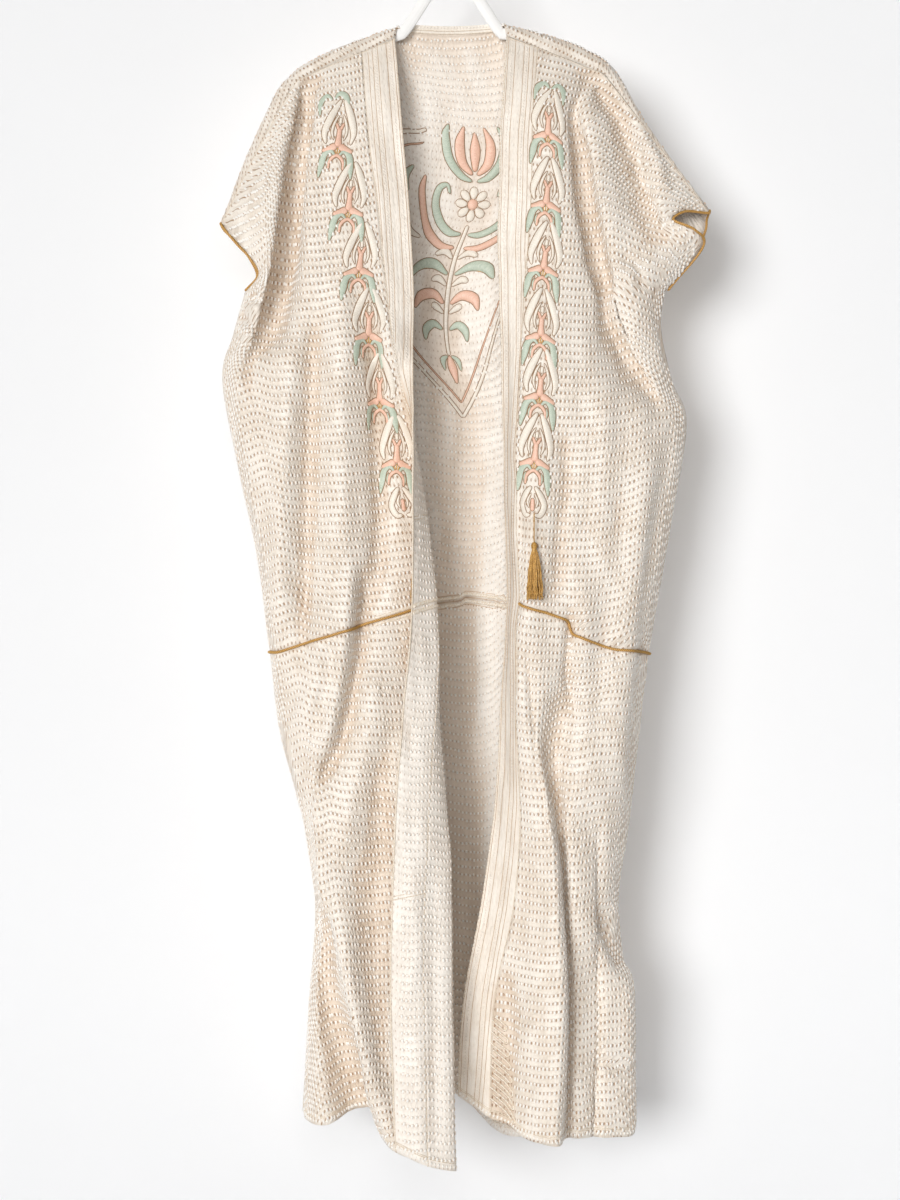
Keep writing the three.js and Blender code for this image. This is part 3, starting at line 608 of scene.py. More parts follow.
def wall(name, points, normal, uv, facing, materials, kept=None, hollow=None):
    """A closed thin wall on a grid of points: CLOTH thick, half of it to each side."""
    columns, rows = points.shape[:2]
    count = columns * rows
    quads = quad_grid(columns, rows)
    if kept is None:
        kept = np.ones((columns - 1, rows - 1), bool)
    padded = np.pad(kept, 1)
    rim = []
    for missing, (p, q) in ((padded[1:-1, :-2], (0, 1)), (padded[2:, 1:-1], (1, 2)),
                            (padded[1:-1, 2:], (2, 3)), (padded[:-2, 1:-1], (3, 0))):
        edge = quads[kept & ~missing][:, [p, q]]
        rim.append(np.stack([edge[:, 0], edge[:, 0] + count, edge[:, 1] + count, edge[:, 1]], axis=-1))
    faces = np.concatenate([quads[kept], quads[kept][:, ::-1] + count, *rim])
    slots = np.zeros(len(faces), int)
    slots[kept.sum():2 * kept.sum()] = 1
    if facing < 0:
        faces = faces[:, ::-1]
    verts = np.concatenate([(points + normal * way * FACE).reshape(-1, 3) for way in (1, -1)])
    used = np.zeros(2 * count, bool)
    used[faces] = True
    fresh = np.cumsum(used) - 1
    uv = np.tile(uv.reshape(-1, 2), (2, 1)) / 100
    if hollow is not None:
        hollow = np.concatenate([hollow.ravel(), -hollow.ravel()])[used]
    return new_piece(name, verts[used], fresh[faces].tolist(), uv[used], slots, materials, hollow=hollow)


# ---- materials -------------------------------------------------------------------------
class Nodes:
    """Short ways to place and join the nodes of a tree."""

    def __init__(self, tree):
        self.tree = tree

    def add(self, kind, **settings):
        node = self.tree.nodes.new(kind)
        for name, value in settings.items():
            setattr(node, name, value)
        return node

    def join(self, socket, value):
        if isinstance(value, bpy.types.NodeSocket):
            self.tree.links.new(value, socket)
        elif value is not None:
            socket.default_value = value

    def math(self, operation, *values, clamp=False):
        node = self.add("ShaderNodeMath", operation=operation, use_clamp=clamp)
        for socket, value in zip(node.inputs, values):
            self.join(socket, value)
        return node.outputs[0]

    def noise(self, vector, scale, detail=3.0, roughness=0.5):
        node = self.add("ShaderNodeTexNoise")
        for socket, value in (("Vector", vector), ("Scale", scale), ("Detail", detail), ("Roughness", roughness)):
            self.join(node.inputs[socket], value)
        return node.outputs["Fac"]

    def fleck(self, scale, detail=3.0):
        """An uneven grain on the piece's own place."""
        return self.noise(self.add("ShaderNodeTexCoord").outputs["Object"], scale, detail)

    def mix(self, share, one, other, blend="MIX"):
        node = self.add("ShaderNodeMix", data_type="RGBA", blend_type=blend)
        for socket, value in zip((node.inputs["Factor"], node.inputs[6], node.inputs[7]), (share, one, other)):
            self.join(socket, value)
        return node.outputs[2]

    def span(self, value, low, high, start=0.0, end=1.0):
        """value between low and high, made to run smoothly from start to end."""
        node = self.add("ShaderNodeMapRange", interpolation_type="SMOOTHSTEP")
        for socket, number in zip(node.inputs, (value, low, high, start, end)):
            self.join(socket, number)
        return node.outputs[0]

    def vector(self, x, y, z=0.0):
        node = self.add("ShaderNodeCombineXYZ")
        for socket, value in zip(node.inputs, (x, y, z)):
            self.join(socket, value)
        return node.outputs[0]

    def group(self, tree, **given):
        node = self.add("ShaderNodeGroup", node_tree=tree)
        for name, value in given.items():
            self.join(node.inputs[name], value)
        return node.outputs

    def bump(self, height, strength, distance):
        node = self.add("ShaderNodeBump")
        for socket, value in (("Height", height), ("Strength", strength), ("Distance", distance)):
            self.join(node.inputs[socket], value)
        return node.outputs["Normal"]


def new_material(name, **shader):
    """A material of one Principled BSDF with the given sockets set."""
    material = bpy.data.materials.new(name)
    material.use_nodes = True
    bsdf = material.node_tree.nodes["Principled BSDF"]
    for socket, value in shader.items():
        bsdf.inputs[socket.replace("_", " ")].default_value = value
    return material, Nodes(material.node_tree), bsdf


def dye(red, green, blue):
    """A dyer's sRGB shade as the shader wants it."""
    return tuple(c / 3294.6 if c < 10.3 else ((c + 14.025) / 269.025) ** 2.4 for c in (red, green, blue)) + (1,)


def effect(name, inputs, outputs):
    """A new shader node group. Gives its tree, its nodes, its inputs and its output sockets."""
    tree = bpy.data.node_groups.new(name, "ShaderNodeTree")
    kinds = {"number": "NodeSocketFloat", "colour": "NodeSocketColor", "vector": "NodeSocketVector"}
    for label, kind in inputs.items():
        tree.interface.new_socket(label, in_out="INPUT", socket_type=kinds[kind])
    for label, kind in outputs.items():
        tree.interface.new_socket(label, in_out="OUTPUT", socket_type=kinds[kind])
    nodes = Nodes(tree)
    return tree, nodes, nodes.add("NodeGroupInput").outputs, nodes.add("NodeGroupOutput").inputs


def cloth_measure(nodes):
    """The cloth's own measure in millimetres: across and down."""
    uv = nodes.add("ShaderNodeUVMap", uv_map="cloth").outputs["UV"]
    split = nodes.add("ShaderNodeSeparateXYZ")
    nodes.join(split.inputs[0], uv)
    return nodes.math("MULTIPLY", split.outputs[0], 100.0), nodes.math("MULTIPLY", split.outputs[1], 100.0)


def pip_weave():
    """The woven ground between the pips: the sunken spot on each side of a pip, and the crinkle
    that the drawn threads leave in the cotton."""
    tree, nodes, given, made = effect(
        "pip weave", {"across": "number", "down": "number", "spot wide": "number", "spot long": "number"},
        {"spots": "number", "crinkle": "number", "blotch": "number", "pulls": "number", "ribs": "number"})
    across, down = given["across"], given["down"]
    wander = nodes.math("MULTIPLY", nodes.math("SUBTRACT", nodes.noise(
        nodes.vector(across, down), 0.16, 2.0), 0.5), 0.8)
    column = nodes.math("FRACT", nodes.math("DIVIDE", nodes.math("ADD", across, wander), PIP_ALONG))
    row = nodes.math("FRACT", nodes.math("ADD", nodes.math("DIVIDE", down, PIP_ROWS), 0.5))
    aside, above = (
        nodes.math("DIVIDE", nodes.math("MULTIPLY", nodes.math("SUBTRACT", share, 0.5), spacing), given[size])
        for share, spacing, size in ((column, PIP_ALONG, "spot wide"), (row, PIP_ROWS, "spot long")))
    away = nodes.math("SQRT", nodes.math("ADD", nodes.math("MULTIPLY", aside, aside),
                                         nodes.math("MULTIPLY", above, above)))
    uneven = nodes.span(nodes.noise(nodes.vector(across, down), 0.22, 1.0), 0.3, 0.58, 0.45, 1.0)
    nodes.join(made["spots"], nodes.math("MULTIPLY", nodes.span(away, 1.15, 0.55), uneven))
    drawn = nodes.noise(nodes.vector(nodes.math("MULTIPLY", across, 0.42), nodes.math("MULTIPLY", down, 0.1)),
                        1.0, 3.0, 0.6)
    threads = nodes.noise(nodes.vector(nodes.math("MULTIPLY", across, 2.2), nodes.math("MULTIPLY", down, 1.6)),
                          1.0, 2.0)
    nodes.join(made["crinkle"], nodes.math("ADD", drawn, nodes.math("MULTIPLY", threads, 0.18)))
    blotch = nodes.noise(nodes.vector(across, nodes.math("MULTIPLY", down, 0.6)), 0.035, 3.0)
    nodes.join(made["blotch"], blotch)
    # sharp little folds where the damp cloth was pulled, in some places more than in others
    sheared = nodes.math("ADD", nodes.math("MULTIPLY", across, 0.14), nodes.math("MULTIPLY", down, 0.03))
    tugged = nodes.noise(nodes.vector(sheared, nodes.math("MULTIPLY", down, 0.04)), 1.0, 3.0, 0.55)
    crest = nodes.span(nodes.math("ABSOLUTE", nodes.math("SUBTRACT", tugged, 0.5)), 0.0, 0.1, 1.0, 0.0)
    nodes.join(made["pulls"], nodes.math("MULTIPLY", crest, nodes.span(blotch, 0.38, 0.62, 0.25, 1.0)))
    turn = nodes.math("SUBTRACT", nodes.math("MULTIPLY", row, 2 * math.pi), math.pi / 2)
    nodes.join(made["ribs"], nodes.math("SINE", turn))
    return tree


PIP_WEAVE = pip_weave()
FOLD_PAINTED_SHADE = (232, 216, 200)           # painted warm shade, multiplied into the cotton in its folds
BOUND_SHADE = (158, 122, 90)          # where a stroke of silk dives under its outline


def woven(name, light, deep, spot, spot_share, crinkle, spot_size=(0.85, 2.1), pulls=0.6, **shader):
    """Cotton of the pip weave: light and deep are its shades, spot a painted shade for the sunken spots
    and the low crinkle. Its folds are darkened and warmed with painted shade."""
    material, nodes, bsdf = new_material(name, **shader)
    across, down = cloth_measure(nodes)
    spot_wide, spot_long = spot_size
    weave = nodes.group(PIP_WEAVE, **{"across": across, "down": down, "spot wide": spot_wide, "spot long": spot_long})
    shade = nodes.mix(nodes.span(weave["blotch"], 0.35, 0.65), dye(*light), dye(*deep))
    # painted shade: the low parts of the crinkle take a little of the spot colour
    sunk = nodes.span(weave["crinkle"], 0.42, 0.68)
    shade = nodes.mix(nodes.math("MULTIPLY", nodes.math("SUBTRACT", 1.0, sunk), 0.14), shade, dye(*spot))
    # painted shade: the sunken spots between the pips take the darker spot colour
    shade = nodes.mix(nodes.math("MULTIPLY", weave["spots"], spot_share), shade, dye(*spot))
    hollow = nodes.add("ShaderNodeAttribute", attribute_name="hollow").outputs["Fac"]
    # painted shade: where the cloth lies in a fold its colour is multiplied towards a warm darker tone
    shade = nodes.mix(nodes.span(hollow, 0.0, 1.0, 0.0, 0.55), shade, dye(*FOLD_PAINTED_SHADE), "MULTIPLY")
    nodes.join(bsdf.inputs["Base Color"], shade)
    height = nodes.math("SUBTRACT", weave["crinkle"], weave["spots"])
    height = nodes.math("MULTIPLY", height, crinkle)
    height = nodes.math("ADD", height, nodes.math("MULTIPLY", weave["pulls"], pulls))
    height = nodes.math("ADD", height, nodes.math("MULTIPLY", weave["ribs"], 0.25 * min(1.0, spot_share * 2)))
    nodes.join(bsdf.inputs["Normal"], nodes.bump(height, 1.0, 1.0 * MM))
    return material


def silky(name, light, deep, **shader):
    """Satin threads laid side by side along the piece's own strokes. The cloth layer's u is the
    distance in from a stroke's edge and v the way along it."""
    material, nodes, bsdf = new_material(name, **shader)
    inwards, along = cloth_measure(nodes)
    threads = nodes.noise(nodes.vector(nodes.math("ADD", nodes.math("MULTIPLY", along, 1.5), inwards),
                                       nodes.math("MULTIPLY", inwards, 0.25)), 1.0, 2.0)
    shade = nodes.mix(nodes.span(threads, 0.35, 0.65), dye(*light), dye(*deep))
    bound = nodes.span(inwards, 1.1, 0.2)
    shade = nodes.mix(nodes.math("MULTIPLY", bound, 0.7), shade, dye(*BOUND_SHADE))
    nodes.join(bsdf.inputs["Base Color"], shade)
    nodes.join(bsdf.inputs["Normal"], nodes.bump(threads, 0.5, 0.5 * MM))
    return material


def spun(name, light, deep, grain, **shader):
    """Thread or moulding with a fine uneven shade on its own place."""
    material, nodes, bsdf = new_material(name, **shader)
    fleck = nodes.fleck(grain)
    nodes.join(bsdf.inputs["Base Color"], nodes.mix(nodes.span(fleck, 0.35, 0.65), dye(*light), dye(*deep)))
    nodes.join(bsdf.inputs["Normal"], nodes.bump(fleck, 0.25, 0.3 * MM))
    return material


def plump(name, top, foot):
    """Silk of the pips: bright on top, with a painted warm shade at the foot."""
    material, nodes, bsdf = new_material(name, Roughness=0.3, Specular_IOR_Level=0.6)
    rise = nodes.add("ShaderNodeAttribute", attribute_name="rise").outputs["Fac"]
    fleck = nodes.fleck(500.0)
    # painted shade: the foot colour darkens the pip's low sides by their rise
    shade = nodes.mix(nodes.span(rise, 0.1, 0.62), dye(*foot), dye(*top))
    nodes.join(bsdf.inputs["Base Color"], nodes.mix(nodes.span(fleck, 0.35, 0.65, 0.0, 0.12), shade, dye(*foot)))
    nodes.join(bsdf.inputs["Normal"], nodes.bump(fleck, 0.2, 0.3 * MM))
    return material


def twisted(name, light, deep):
    """Gold cord with painted shade in the grooves between its strands."""
    material, nodes, bsdf = new_material(name, Roughness=0.42, Specular_IOR_Level=0.5)
    groove_shade_mask = nodes.add("ShaderNodeAttribute", attribute_name="strand").outputs["Fac"]
    fleck = nodes.fleck(900.0, 2.0)
    shade = nodes.mix(nodes.span(groove_shade_mask, -0.6, 0.7), dye(*deep), dye(*light))
    nodes.join(bsdf.inputs["Base Color"], nodes.mix(nodes.span(fleck, 0.3, 0.7, 0.0, 0.35), shade, dye(*deep)))
    nodes.join(bsdf.inputs["Normal"], nodes.bump(fleck, 0.3, 0.3 * MM))
    return material


# the third colour of each woven cotton is the painted shade of its sunken spots and low crinkle
COTTON = woven("cream pip cotton", (248, 241, 231), (240, 229, 215), (178, 140, 104), 0.9, 0.7, (1.15, 2.3),
               Roughness=0.4, Sheen_Weight=0.1, Specular_IOR_Level=0.6)
# inner face: smaller spots, and a ground painted lighter than the outside to offset the shade inside the garment
COTTON_INSIDE_PAINTED_LIGHTER = woven("cream pip cotton inside", (251, 245, 237), (246, 238, 228), (192, 162, 132), 0.6, 0.35,
                      spot_size=(0.7, 1.5), pulls=0.35, Roughness=0.42, Sheen_Weight=0.1, Specular_IOR_Level=0.55)
BAND_COTTON = woven("pressed band cotton", (249, 242, 232), (243, 234, 222), (200, 170, 140), 0.0, 0.35, pulls=0.3,
                    Roughness=0.42, Sheen_Weight=0.1, Specular_IOR_Level=0.55)
# the second colour is the painted shade at a pip's foot
PIP_SILK = plump("white pip silk", (255, 253, 248), (224, 190, 156))
SEAM_THREAD = spun("cream seam thread", (244, 234, 218), (222, 204, 182), 700.0, Roughness=0.5)
BROWN_THREAD = spun("brown outline thread", (176, 140, 104), (146, 112, 80), 900.0, Roughness=0.5)
BAND_THREAD = spun("tan band thread", (214, 184, 150), (188, 154, 120), 900.0, Roughness=0.5)
PIP_SILK_THREAD = spun("white edge silk", (252, 246, 236), (232, 214, 190), 600.0, Roughness=0.45)
GOLD_THREAD = spun("gold thread", (226, 180, 98), (176, 128, 58), 900.0, Roughness=0.38)
# the second colour is the painted shade in the cord's grooves
GOLD_CORD = twisted("twisted gold cord", (240, 196, 118), (178, 128, 62))
PEACH_SILK = silky("peach silk", (247, 208, 187), (237, 188, 164), Roughness=0.38)
MINT_SILK = silky("mint silk", (206, 216, 200), (182, 197, 179), Roughness=0.38)
CREAM_SILK = silky("cream silk", (250, 243, 232), (236, 226, 211), Roughness=0.42)
PLASTIC = spun("white hanger plastic", (252, 252, 252), (249, 249, 248), 30.0, Roughness=0.5, Specular_IOR_Level=0.25)


# ---- what repeats or follows a line ----------------------------------------------------
def maker_tree(name, **inputs):
    """A Geometry Nodes tree with the given named inputs. Gives its nodes, inputs and outlet."""
    tree = bpy.data.node_groups.new(name, "GeometryNodeTree")
    for label, (kind, value) in inputs.items():
        socket = tree.interface.new_socket(label.replace("_", " "), in_out="INPUT", socket_type="NodeSocket" + kind)
        if value is not None:
            socket.default_value = value
    tree.interface.new_socket("made", in_out="OUTPUT", socket_type="NodeSocketGeometry")
    nodes = Nodes(tree)
    return tree, nodes, nodes.add("NodeGroupInput").outputs, nodes.add("NodeGroupOutput").inputs["made"]


def finish_tree(nodes, geometry, given, outlet):
    """Ends a tree: real meshes, smooth, in the given finish."""
    realize = nodes.add("GeometryNodeRealizeInstances")
    nodes.join(realize.inputs[0], geometry)
    shade = nodes.add("GeometryNodeSetShadeSmooth")
    nodes.join(shade.inputs["Geometry"], realize.outputs[0])
    shade.inputs["Shade Smooth"].default_value = True
    finish = nodes.add("GeometryNodeSetMaterial")
    nodes.join(finish.inputs["Geometry"], shade.outputs[0])
    nodes.join(finish.inputs["Material"], given["finish"])
    nodes.join(outlet, finish.outputs[0])


def kept_value(nodes, label, kind="FLOAT"):
    """What keep_values left on each point."""
    node = nodes.add("GeometryNodeInputNamedAttribute", data_type=kind)
    node.inputs["Name"].default_value = label
    return node.outputs["Attribute"]


def scatter_tree():
    """Sets a small shape on each point, turned and sized as the point says, a little uneven."""
    tree, nodes, given, outlet = maker_tree(
        "set on the cloth", points=("Geometry", None), shape=("Object", None), uneven=("Float", 0.12),
        seed=("Int", 3), finish=("Material", None))
    shape = nodes.add("GeometryNodeObjectInfo")
    nodes.join(shape.inputs["Object"], given["shape"])
    vary = nodes.add("FunctionNodeRandomValue", data_type="FLOAT")
    nodes.join(vary.inputs[2], nodes.math("SUBTRACT", 1.0, given["uneven"]))
    nodes.join(vary.inputs[3], nodes.math("ADD", 1.0, given["uneven"]))
    nodes.join(vary.inputs["Seed"], given["seed"])
    sized = nodes.add("ShaderNodeVectorMath", operation="SCALE")
    nodes.join(sized.inputs[0], kept_value(nodes, "size", "FLOAT_VECTOR"))
    nodes.join(sized.inputs["Scale"], vary.outputs[1])
    put = nodes.add("GeometryNodeInstanceOnPoints")
    nodes.join(put.inputs["Points"], given["points"])
    nodes.join(put.inputs["Instance"], shape.outputs["Geometry"])
    nodes.join(put.inputs["Rotation"], kept_value(nodes, "turn", "FLOAT_VECTOR"))
    nodes.join(put.inputs["Scale"], sized.outputs[0])
    finish_tree(nodes, put.outputs[0], given, outlet)
    return tree


def line_tree():
    """Thread, cord or piping along edges: lobes strands twisted about each other, or one where
    lobes is 0. A point's "swell" sizes the thread there."""
    tree, nodes, given, outlet = maker_tree(
        "laid along a line", lines=("Geometry", None), radius=("Float", 0.0005), step=("Float", 0.002),
        sides=("Int", 6), lobes=("Float", 0.0), lobe_depth=("Float", 0.0), turns_a_metre=("Float", 0.0),
        finish=("Material", None))
    curve = nodes.add("GeometryNodeMeshToCurve")
    nodes.join(curve.inputs["Mesh"], given["lines"])
    cut = nodes.add("GeometryNodeResampleCurve", mode="LENGTH")
    nodes.join(cut.inputs["Curve"], curve.outputs[0])
    nodes.join(cut.inputs["Length"], given["step"])
    reach = nodes.add("GeometryNodeSplineParameter").outputs["Length"]
    tilt = nodes.add("GeometryNodeSetCurveTilt")
    nodes.join(tilt.inputs["Curve"], cut.outputs[0])
    turns = nodes.math("MULTIPLY", reach, given["turns a metre"])
    nodes.join(tilt.inputs["Tilt"], nodes.math("MULTIPLY", turns, 2 * math.pi))
    ring = nodes.add("GeometryNodeCurvePrimitiveCircle", mode="RADIUS")
    nodes.join(ring.inputs["Resolution"], given["sides"])
    ring.inputs["Radius"].default_value = 1.0
    where = nodes.add("GeometryNodeInputPosition").outputs[0]
    split = nodes.add("ShaderNodeSeparateXYZ")
    nodes.join(split.inputs[0], where)
    angle = nodes.math("ARCTAN2", split.outputs[1], split.outputs[0])
    lobe = nodes.math("COSINE", nodes.math("MULTIPLY", angle, given["lobes"]))
    stretch = nodes.math("ADD", nodes.math("SUBTRACT", 1.0, given["lobe depth"]),
                         nodes.math("MULTIPLY", lobe, given["lobe depth"]))
    moved = nodes.add("ShaderNodeVectorMath", operation="SCALE")
    nodes.join(moved.inputs[0], where)
    nodes.join(moved.inputs["Scale"], nodes.math("MULTIPLY", stretch, given["radius"]))
    store = nodes.add("GeometryNodeStoreNamedAttribute", data_type="FLOAT", domain="POINT")
    nodes.join(store.inputs["Geometry"], ring.outputs[0])
    store.inputs["Name"].default_value = "strand"
    nodes.join(store.inputs["Value"], lobe)
    shaped = nodes.add("GeometryNodeSetPosition")
    nodes.join(shaped.inputs["Geometry"], store.outputs[0])
    nodes.join(shaped.inputs["Position"], moved.outputs[0])
    body = nodes.add("GeometryNodeCurveToMesh")
    nodes.join(body.inputs["Curve"], tilt.outputs[0])
    nodes.join(body.inputs["Profile Curve"], shaped.outputs[0])
    body.inputs["Fill Caps"].default_value = True
    nodes.join(body.inputs["Scale"], kept_value(nodes, "swell"))
    finish_tree(nodes, body.outputs[0], given, outlet)
    return tree


SCATTER = scatter_tree()
ALONG = line_tree()


def bake(name, source, tree, **given):
    """Runs a tree on a source object and keeps what it makes as a plain mesh."""
    modifier = source.modifiers.new("make", "NODES")
    modifier.node_group = tree
    for item in tree.interface.items_tree:
        label = item.name.replace(" ", "_")
        if item.item_type == "SOCKET" and item.in_out == "INPUT" and label in given:
            modifier[item.identifier] = given[label]
    bpy.context.view_layer.update()
    mesh = bpy.data.meshes.new_from_object(source.evaluated_get(bpy.context.evaluated_depsgraph_get()))
    source.modifiers.clear()
    bpy.data.objects.remove(source)
    mesh.name = name
    piece = bpy.data.objects.new(name, mesh)
    bpy.context.scene.collection.objects.link(piece)
    return piece


def keep_values(mesh, label, kind, values):
    """Leaves a value on each point of a mesh, for a tree to read."""
    layer = mesh.attributes.new(label, kind, "POINT")
    layer.data.foreach_set("vector" if kind == "FLOAT_VECTOR" else "value", np.asarray(values, np.float32).ravel())


def scatter(name, shape, points, turns, sizes, finish, uneven=0.12, seed=3):
    """Sets shape on each point. sizes is in millimetres: across, down and out."""
    source = new_piece("points", points, [])
    keep_values(source.data, "turn", "FLOAT_VECTOR", turns)
    keep_values(source.data, "size", "FLOAT_VECTOR", np.broadcast_to(np.asarray(sizes, float) * MM, (len(points), 3)))
    return bake(name, source, SCATTER, shape=shape, uneven=uneven, seed=seed, finish=finish)


def lay_lines(name, lines, finish, radius, step=2.0, sides=6, lobes=0.0, lobe_depth=0.0, turns=0.0,
              swells=None, closed=False):
    """Thread or cord along lines of points, in millimetres. turns is the twist in turns a metre."""
    count = 0
    edges = []
    for line in lines:
        edges += [(count + k, count + k + 1) for k in range(len(line) - 1)]
        if closed:
            edges.append((count + len(line) - 1, count))
        count += len(line)
    mesh = bpy.data.meshes.new("lines")
    mesh.from_pydata((np.concatenate(lines) * MM).tolist(), edges, [])
    source = bpy.data.objects.new("lines", mesh)
    bpy.context.scene.collection.objects.link(source)
    keep_values(mesh, "swell", "FLOAT", np.ones(count) if swells is None else np.concatenate(swells))
    return bake(name, source, ALONG, radius=radius * MM, step=step * MM, sides=sides, lobes=float(lobes),
                lobe_depth=lobe_depth, turns_a_metre=float(turns), finish=finish)


def small_shape(name, points, faces):
    """A shape to be set on the cloth. Its rise is 0 at the foot and 1 at the top."""
    mesh = bpy.data.meshes.new(name)
    mesh.from_pydata(points, [], faces)
    mesh.attributes.new("rise", "FLOAT", "POINT").data.foreach_set("value", [max(0.0, z) for _, _, z in points])
    piece = bpy.data.objects.new(name, mesh)
    bpy.context.scene.collection.objects.link(piece)
    return piece


# a pip: a foot and a smaller flat top, within a box of 1 each way
PIP = small_shape(
    "pip", [(-0.46, -0.44, 0), (0.46, -0.44, 0), (0.46, 0.44, 0), (-0.46, 0.44, 0),
            (-0.33, -0.34, 1), (0.33, -0.34, 1), (0.33, 0.34, 1), (-0.33, 0.34, 1)],
    [(0, 1, 5, 4), (1, 2, 6, 5), (2, 3, 7, 6), (3, 0, 4, 7), (4, 5, 6, 7), (3, 2, 1, 0)])
# a stitch: a short thread that dives into the cloth at both ends
STITCH = small_shape(
    "stitch", [(-0.5, -0.5, -0.6), (0.5, -0.5, -0.6), (-0.5, -0.22, 0.7), (0.5, -0.22, 0.7),
               (-0.5, 0.22, 0.7), (0.5, 0.22, 0.7), (-0.5, 0.5, -0.6), (0.5, 0.5, -0.6),
               (0, -0.25, 1), (0, 0.25, 1)],
    [(0, 1, 3, 8, 2), (2, 8, 9, 4), (8, 3, 5, 9), (4, 9, 5, 7, 6), (0, 2, 4, 6), (1, 7, 5, 3), (0, 6, 7, 1)])


# ---- cloths ----------------------------------------------------------------------------
def even_steps(knots, gap):
    """Places through knots that keep every knot and are about gap apart between them."""
    places = [np.array(knots[:1], float)]
    for low, high in zip(knots, knots[1:]):
        places.append(np.linspace(low, high, max(1, round((high - low) / gap)) + 1)[1:])
    return np.concatenate(places)


def row_steps(skin, first, gap):
    """Section numbers that keep each section, with rows of the skin about gap apart."""
    lengths = np.linalg.norm(np.diff(skin.rows, axis=0), axis=-1).mean(axis=1)
    numbers = [np.array([first], float)]
    for k, length in enumerate(lengths):
        low = k + first
        numbers.append(np.linspace(low, low + 1, max(2, math.ceil(length / gap)) + 1)[1:])
    return np.concatenate(numbers)


# A crease: its line of (x, drop), its depth (below 0 it stands up), its width to the left and right.
LEFT_CREASES = (
    (((-166, 36), (-176, 80), (-184, 120), (-191, 165), (-198, 225), (-203, 285), (-214, 331), (-228, 379),
      (-250, 418)), 10, 9, 15),
    (((-160, 60), (-166, 90)), 2, 4, 4),
    (((-182, 75), (-190, 110)), 1.5, 4, 4),
    (((-215, 120), (-235, 200)), 1.5, 12, 12),
    (((-250, 330), (-226, 345), (-205, 340)), 3, 5, 5),
    (((-245, 345), (-225, 358)), -2, 5, 5),
    (((-262, 352), (-240, 372), (-228, 392)), 2.5, 5, 5),
    (((-166, 320), (-173, 487), (-176, 583), (-180, 703), (-184, 790)), 10, 13, 18),
    (((-196, 420), (-202, 560), (-206, 680), (-212, 780)), -4, 14, 12),
    (((-96, 340), (-88, 480), (-84, 600), (-86, 740)), 8, 15, 11),
    (((-134, 280), (-132, 420), (-130, 560), (-132, 700)), -4, 16, 14),
    (((-104, 640), (-106, 703), (-111, 762), (-120, 809), (-137, 878), (-158, 921), (-175, 953)), 9, 9, 14),
    (((-122, 650), (-128, 762), (-138, 840), (-156, 900)), -7, 12, 10),
    (((-96, 760), (-100, 860), (-122, 960), (-140, 1030)), -6, 14, 44),
    (((-158, 1040), (-141, 1130), (-124, 1219), (-107, 1310), (-100, 1380)), 10, 22, 8),
    (((-144, 1060), (-128, 1150), (-110, 1230), (-88, 1340)), -4, 6, 18),
    (((-86, 830), (-90, 960), (-92, 1100), (-80, 1250), (-66, 1340)), 4.5, 26, 8),
    (((-142, 690), (-160, 799), (-190, 880)), -4, 14, 12),
    (((-70, 840), (-84, 930), (-80, 1020)), 3, 12, 12),
    (((-22, 980), (-20, 1100), (-18, 1420)), -3.5, 14, 8),
)
RIGHT_CREASES = (
    (((150, 90), (157, 223), (172, 300), (196, 350), (214, 403), (240, 450), (266, 500)), 7, 10, 14),
    (((150, 46), (184, 80), (210, 120), (226, 168), (240, 225), (250, 265)), 10, 18, 5),
    (((196, 56), (226, 118), (244, 168), (262, 228)), -4, 5, 9),
    (((179, 60), (181, 72)), 2, 4, 4),
    (((200, 285), (222, 300), (232, 335)), 3, 7, 7),
    (((236, 470), (230, 560), (218, 650), (206, 760), (196, 880), (192, 1000)), -7, 20, 12),
    (((176, 420), (182, 540), (176, 700)), -3, 14, 14),
    (((133, 480), (136, 560), (128, 640), (120, 720)), 3, 10, 10),
    (((141, 700), (141, 735), (137, 790), (150, 860)), 5, 6, 6),
    (((78, 520), (80, 620), (76, 740)), 3.5, 9, 9),
    (((84, 740), (96, 845), (105, 915), (118, 1010)), 6, 9, 10),
    (((170, 1255), (196, 1266), (216, 1272)), 3, 5, 5),
    (((68, 1130), (66, 1230), (60, 1420)), 5, 12, 14),
    (((164, 1080), (166, 1230), (162, 1440)), 9, 14, 18),
    (((134, 840), (144, 980), (152, 1080), (158, 1200), (152, 1440)), -11, 12, 18),
    (((172, 900), (176, 1000), (180, 1100), (174, 1440)), 6, 20, 8),
    (((160, 640), (158, 760), (158, 900), (170, 1000)), -4, 16, 14),
    (((206, 1110), (208, 1230), (210, 1440)), -7, 14, 10),
    (((172, 1060), (190, 1100), (206, 1160)), 6, 7, 10),
)
BACK_CREASES = (
    (((-120, 120), (-128, 200), (-120, 320)), -3, 16, 16),
    (((118, 130), (126, 230), (116, 330)), -3, 16, 16),
    (((-175, 330), (-150, 420), (-140, 560)), -4, 18, 18),
    (((180, 330), (152, 430), (146, 560)), -4, 18, 18),
    (((-60, 480), (-66, 640), (-58, 800)), 3, 20, 20),
    (((70, 460), (64, 620), (74, 790)), 3, 20, 20),
    (((10, 500), (6, 660), (14, 900)), -3, 22, 22),
    (((-110, 820), (-96, 1000), (-104, 1200)), 4, 24, 24),
    (((100, 820), (88, 1010), (96, 1210)), 4, 24, 24),
)
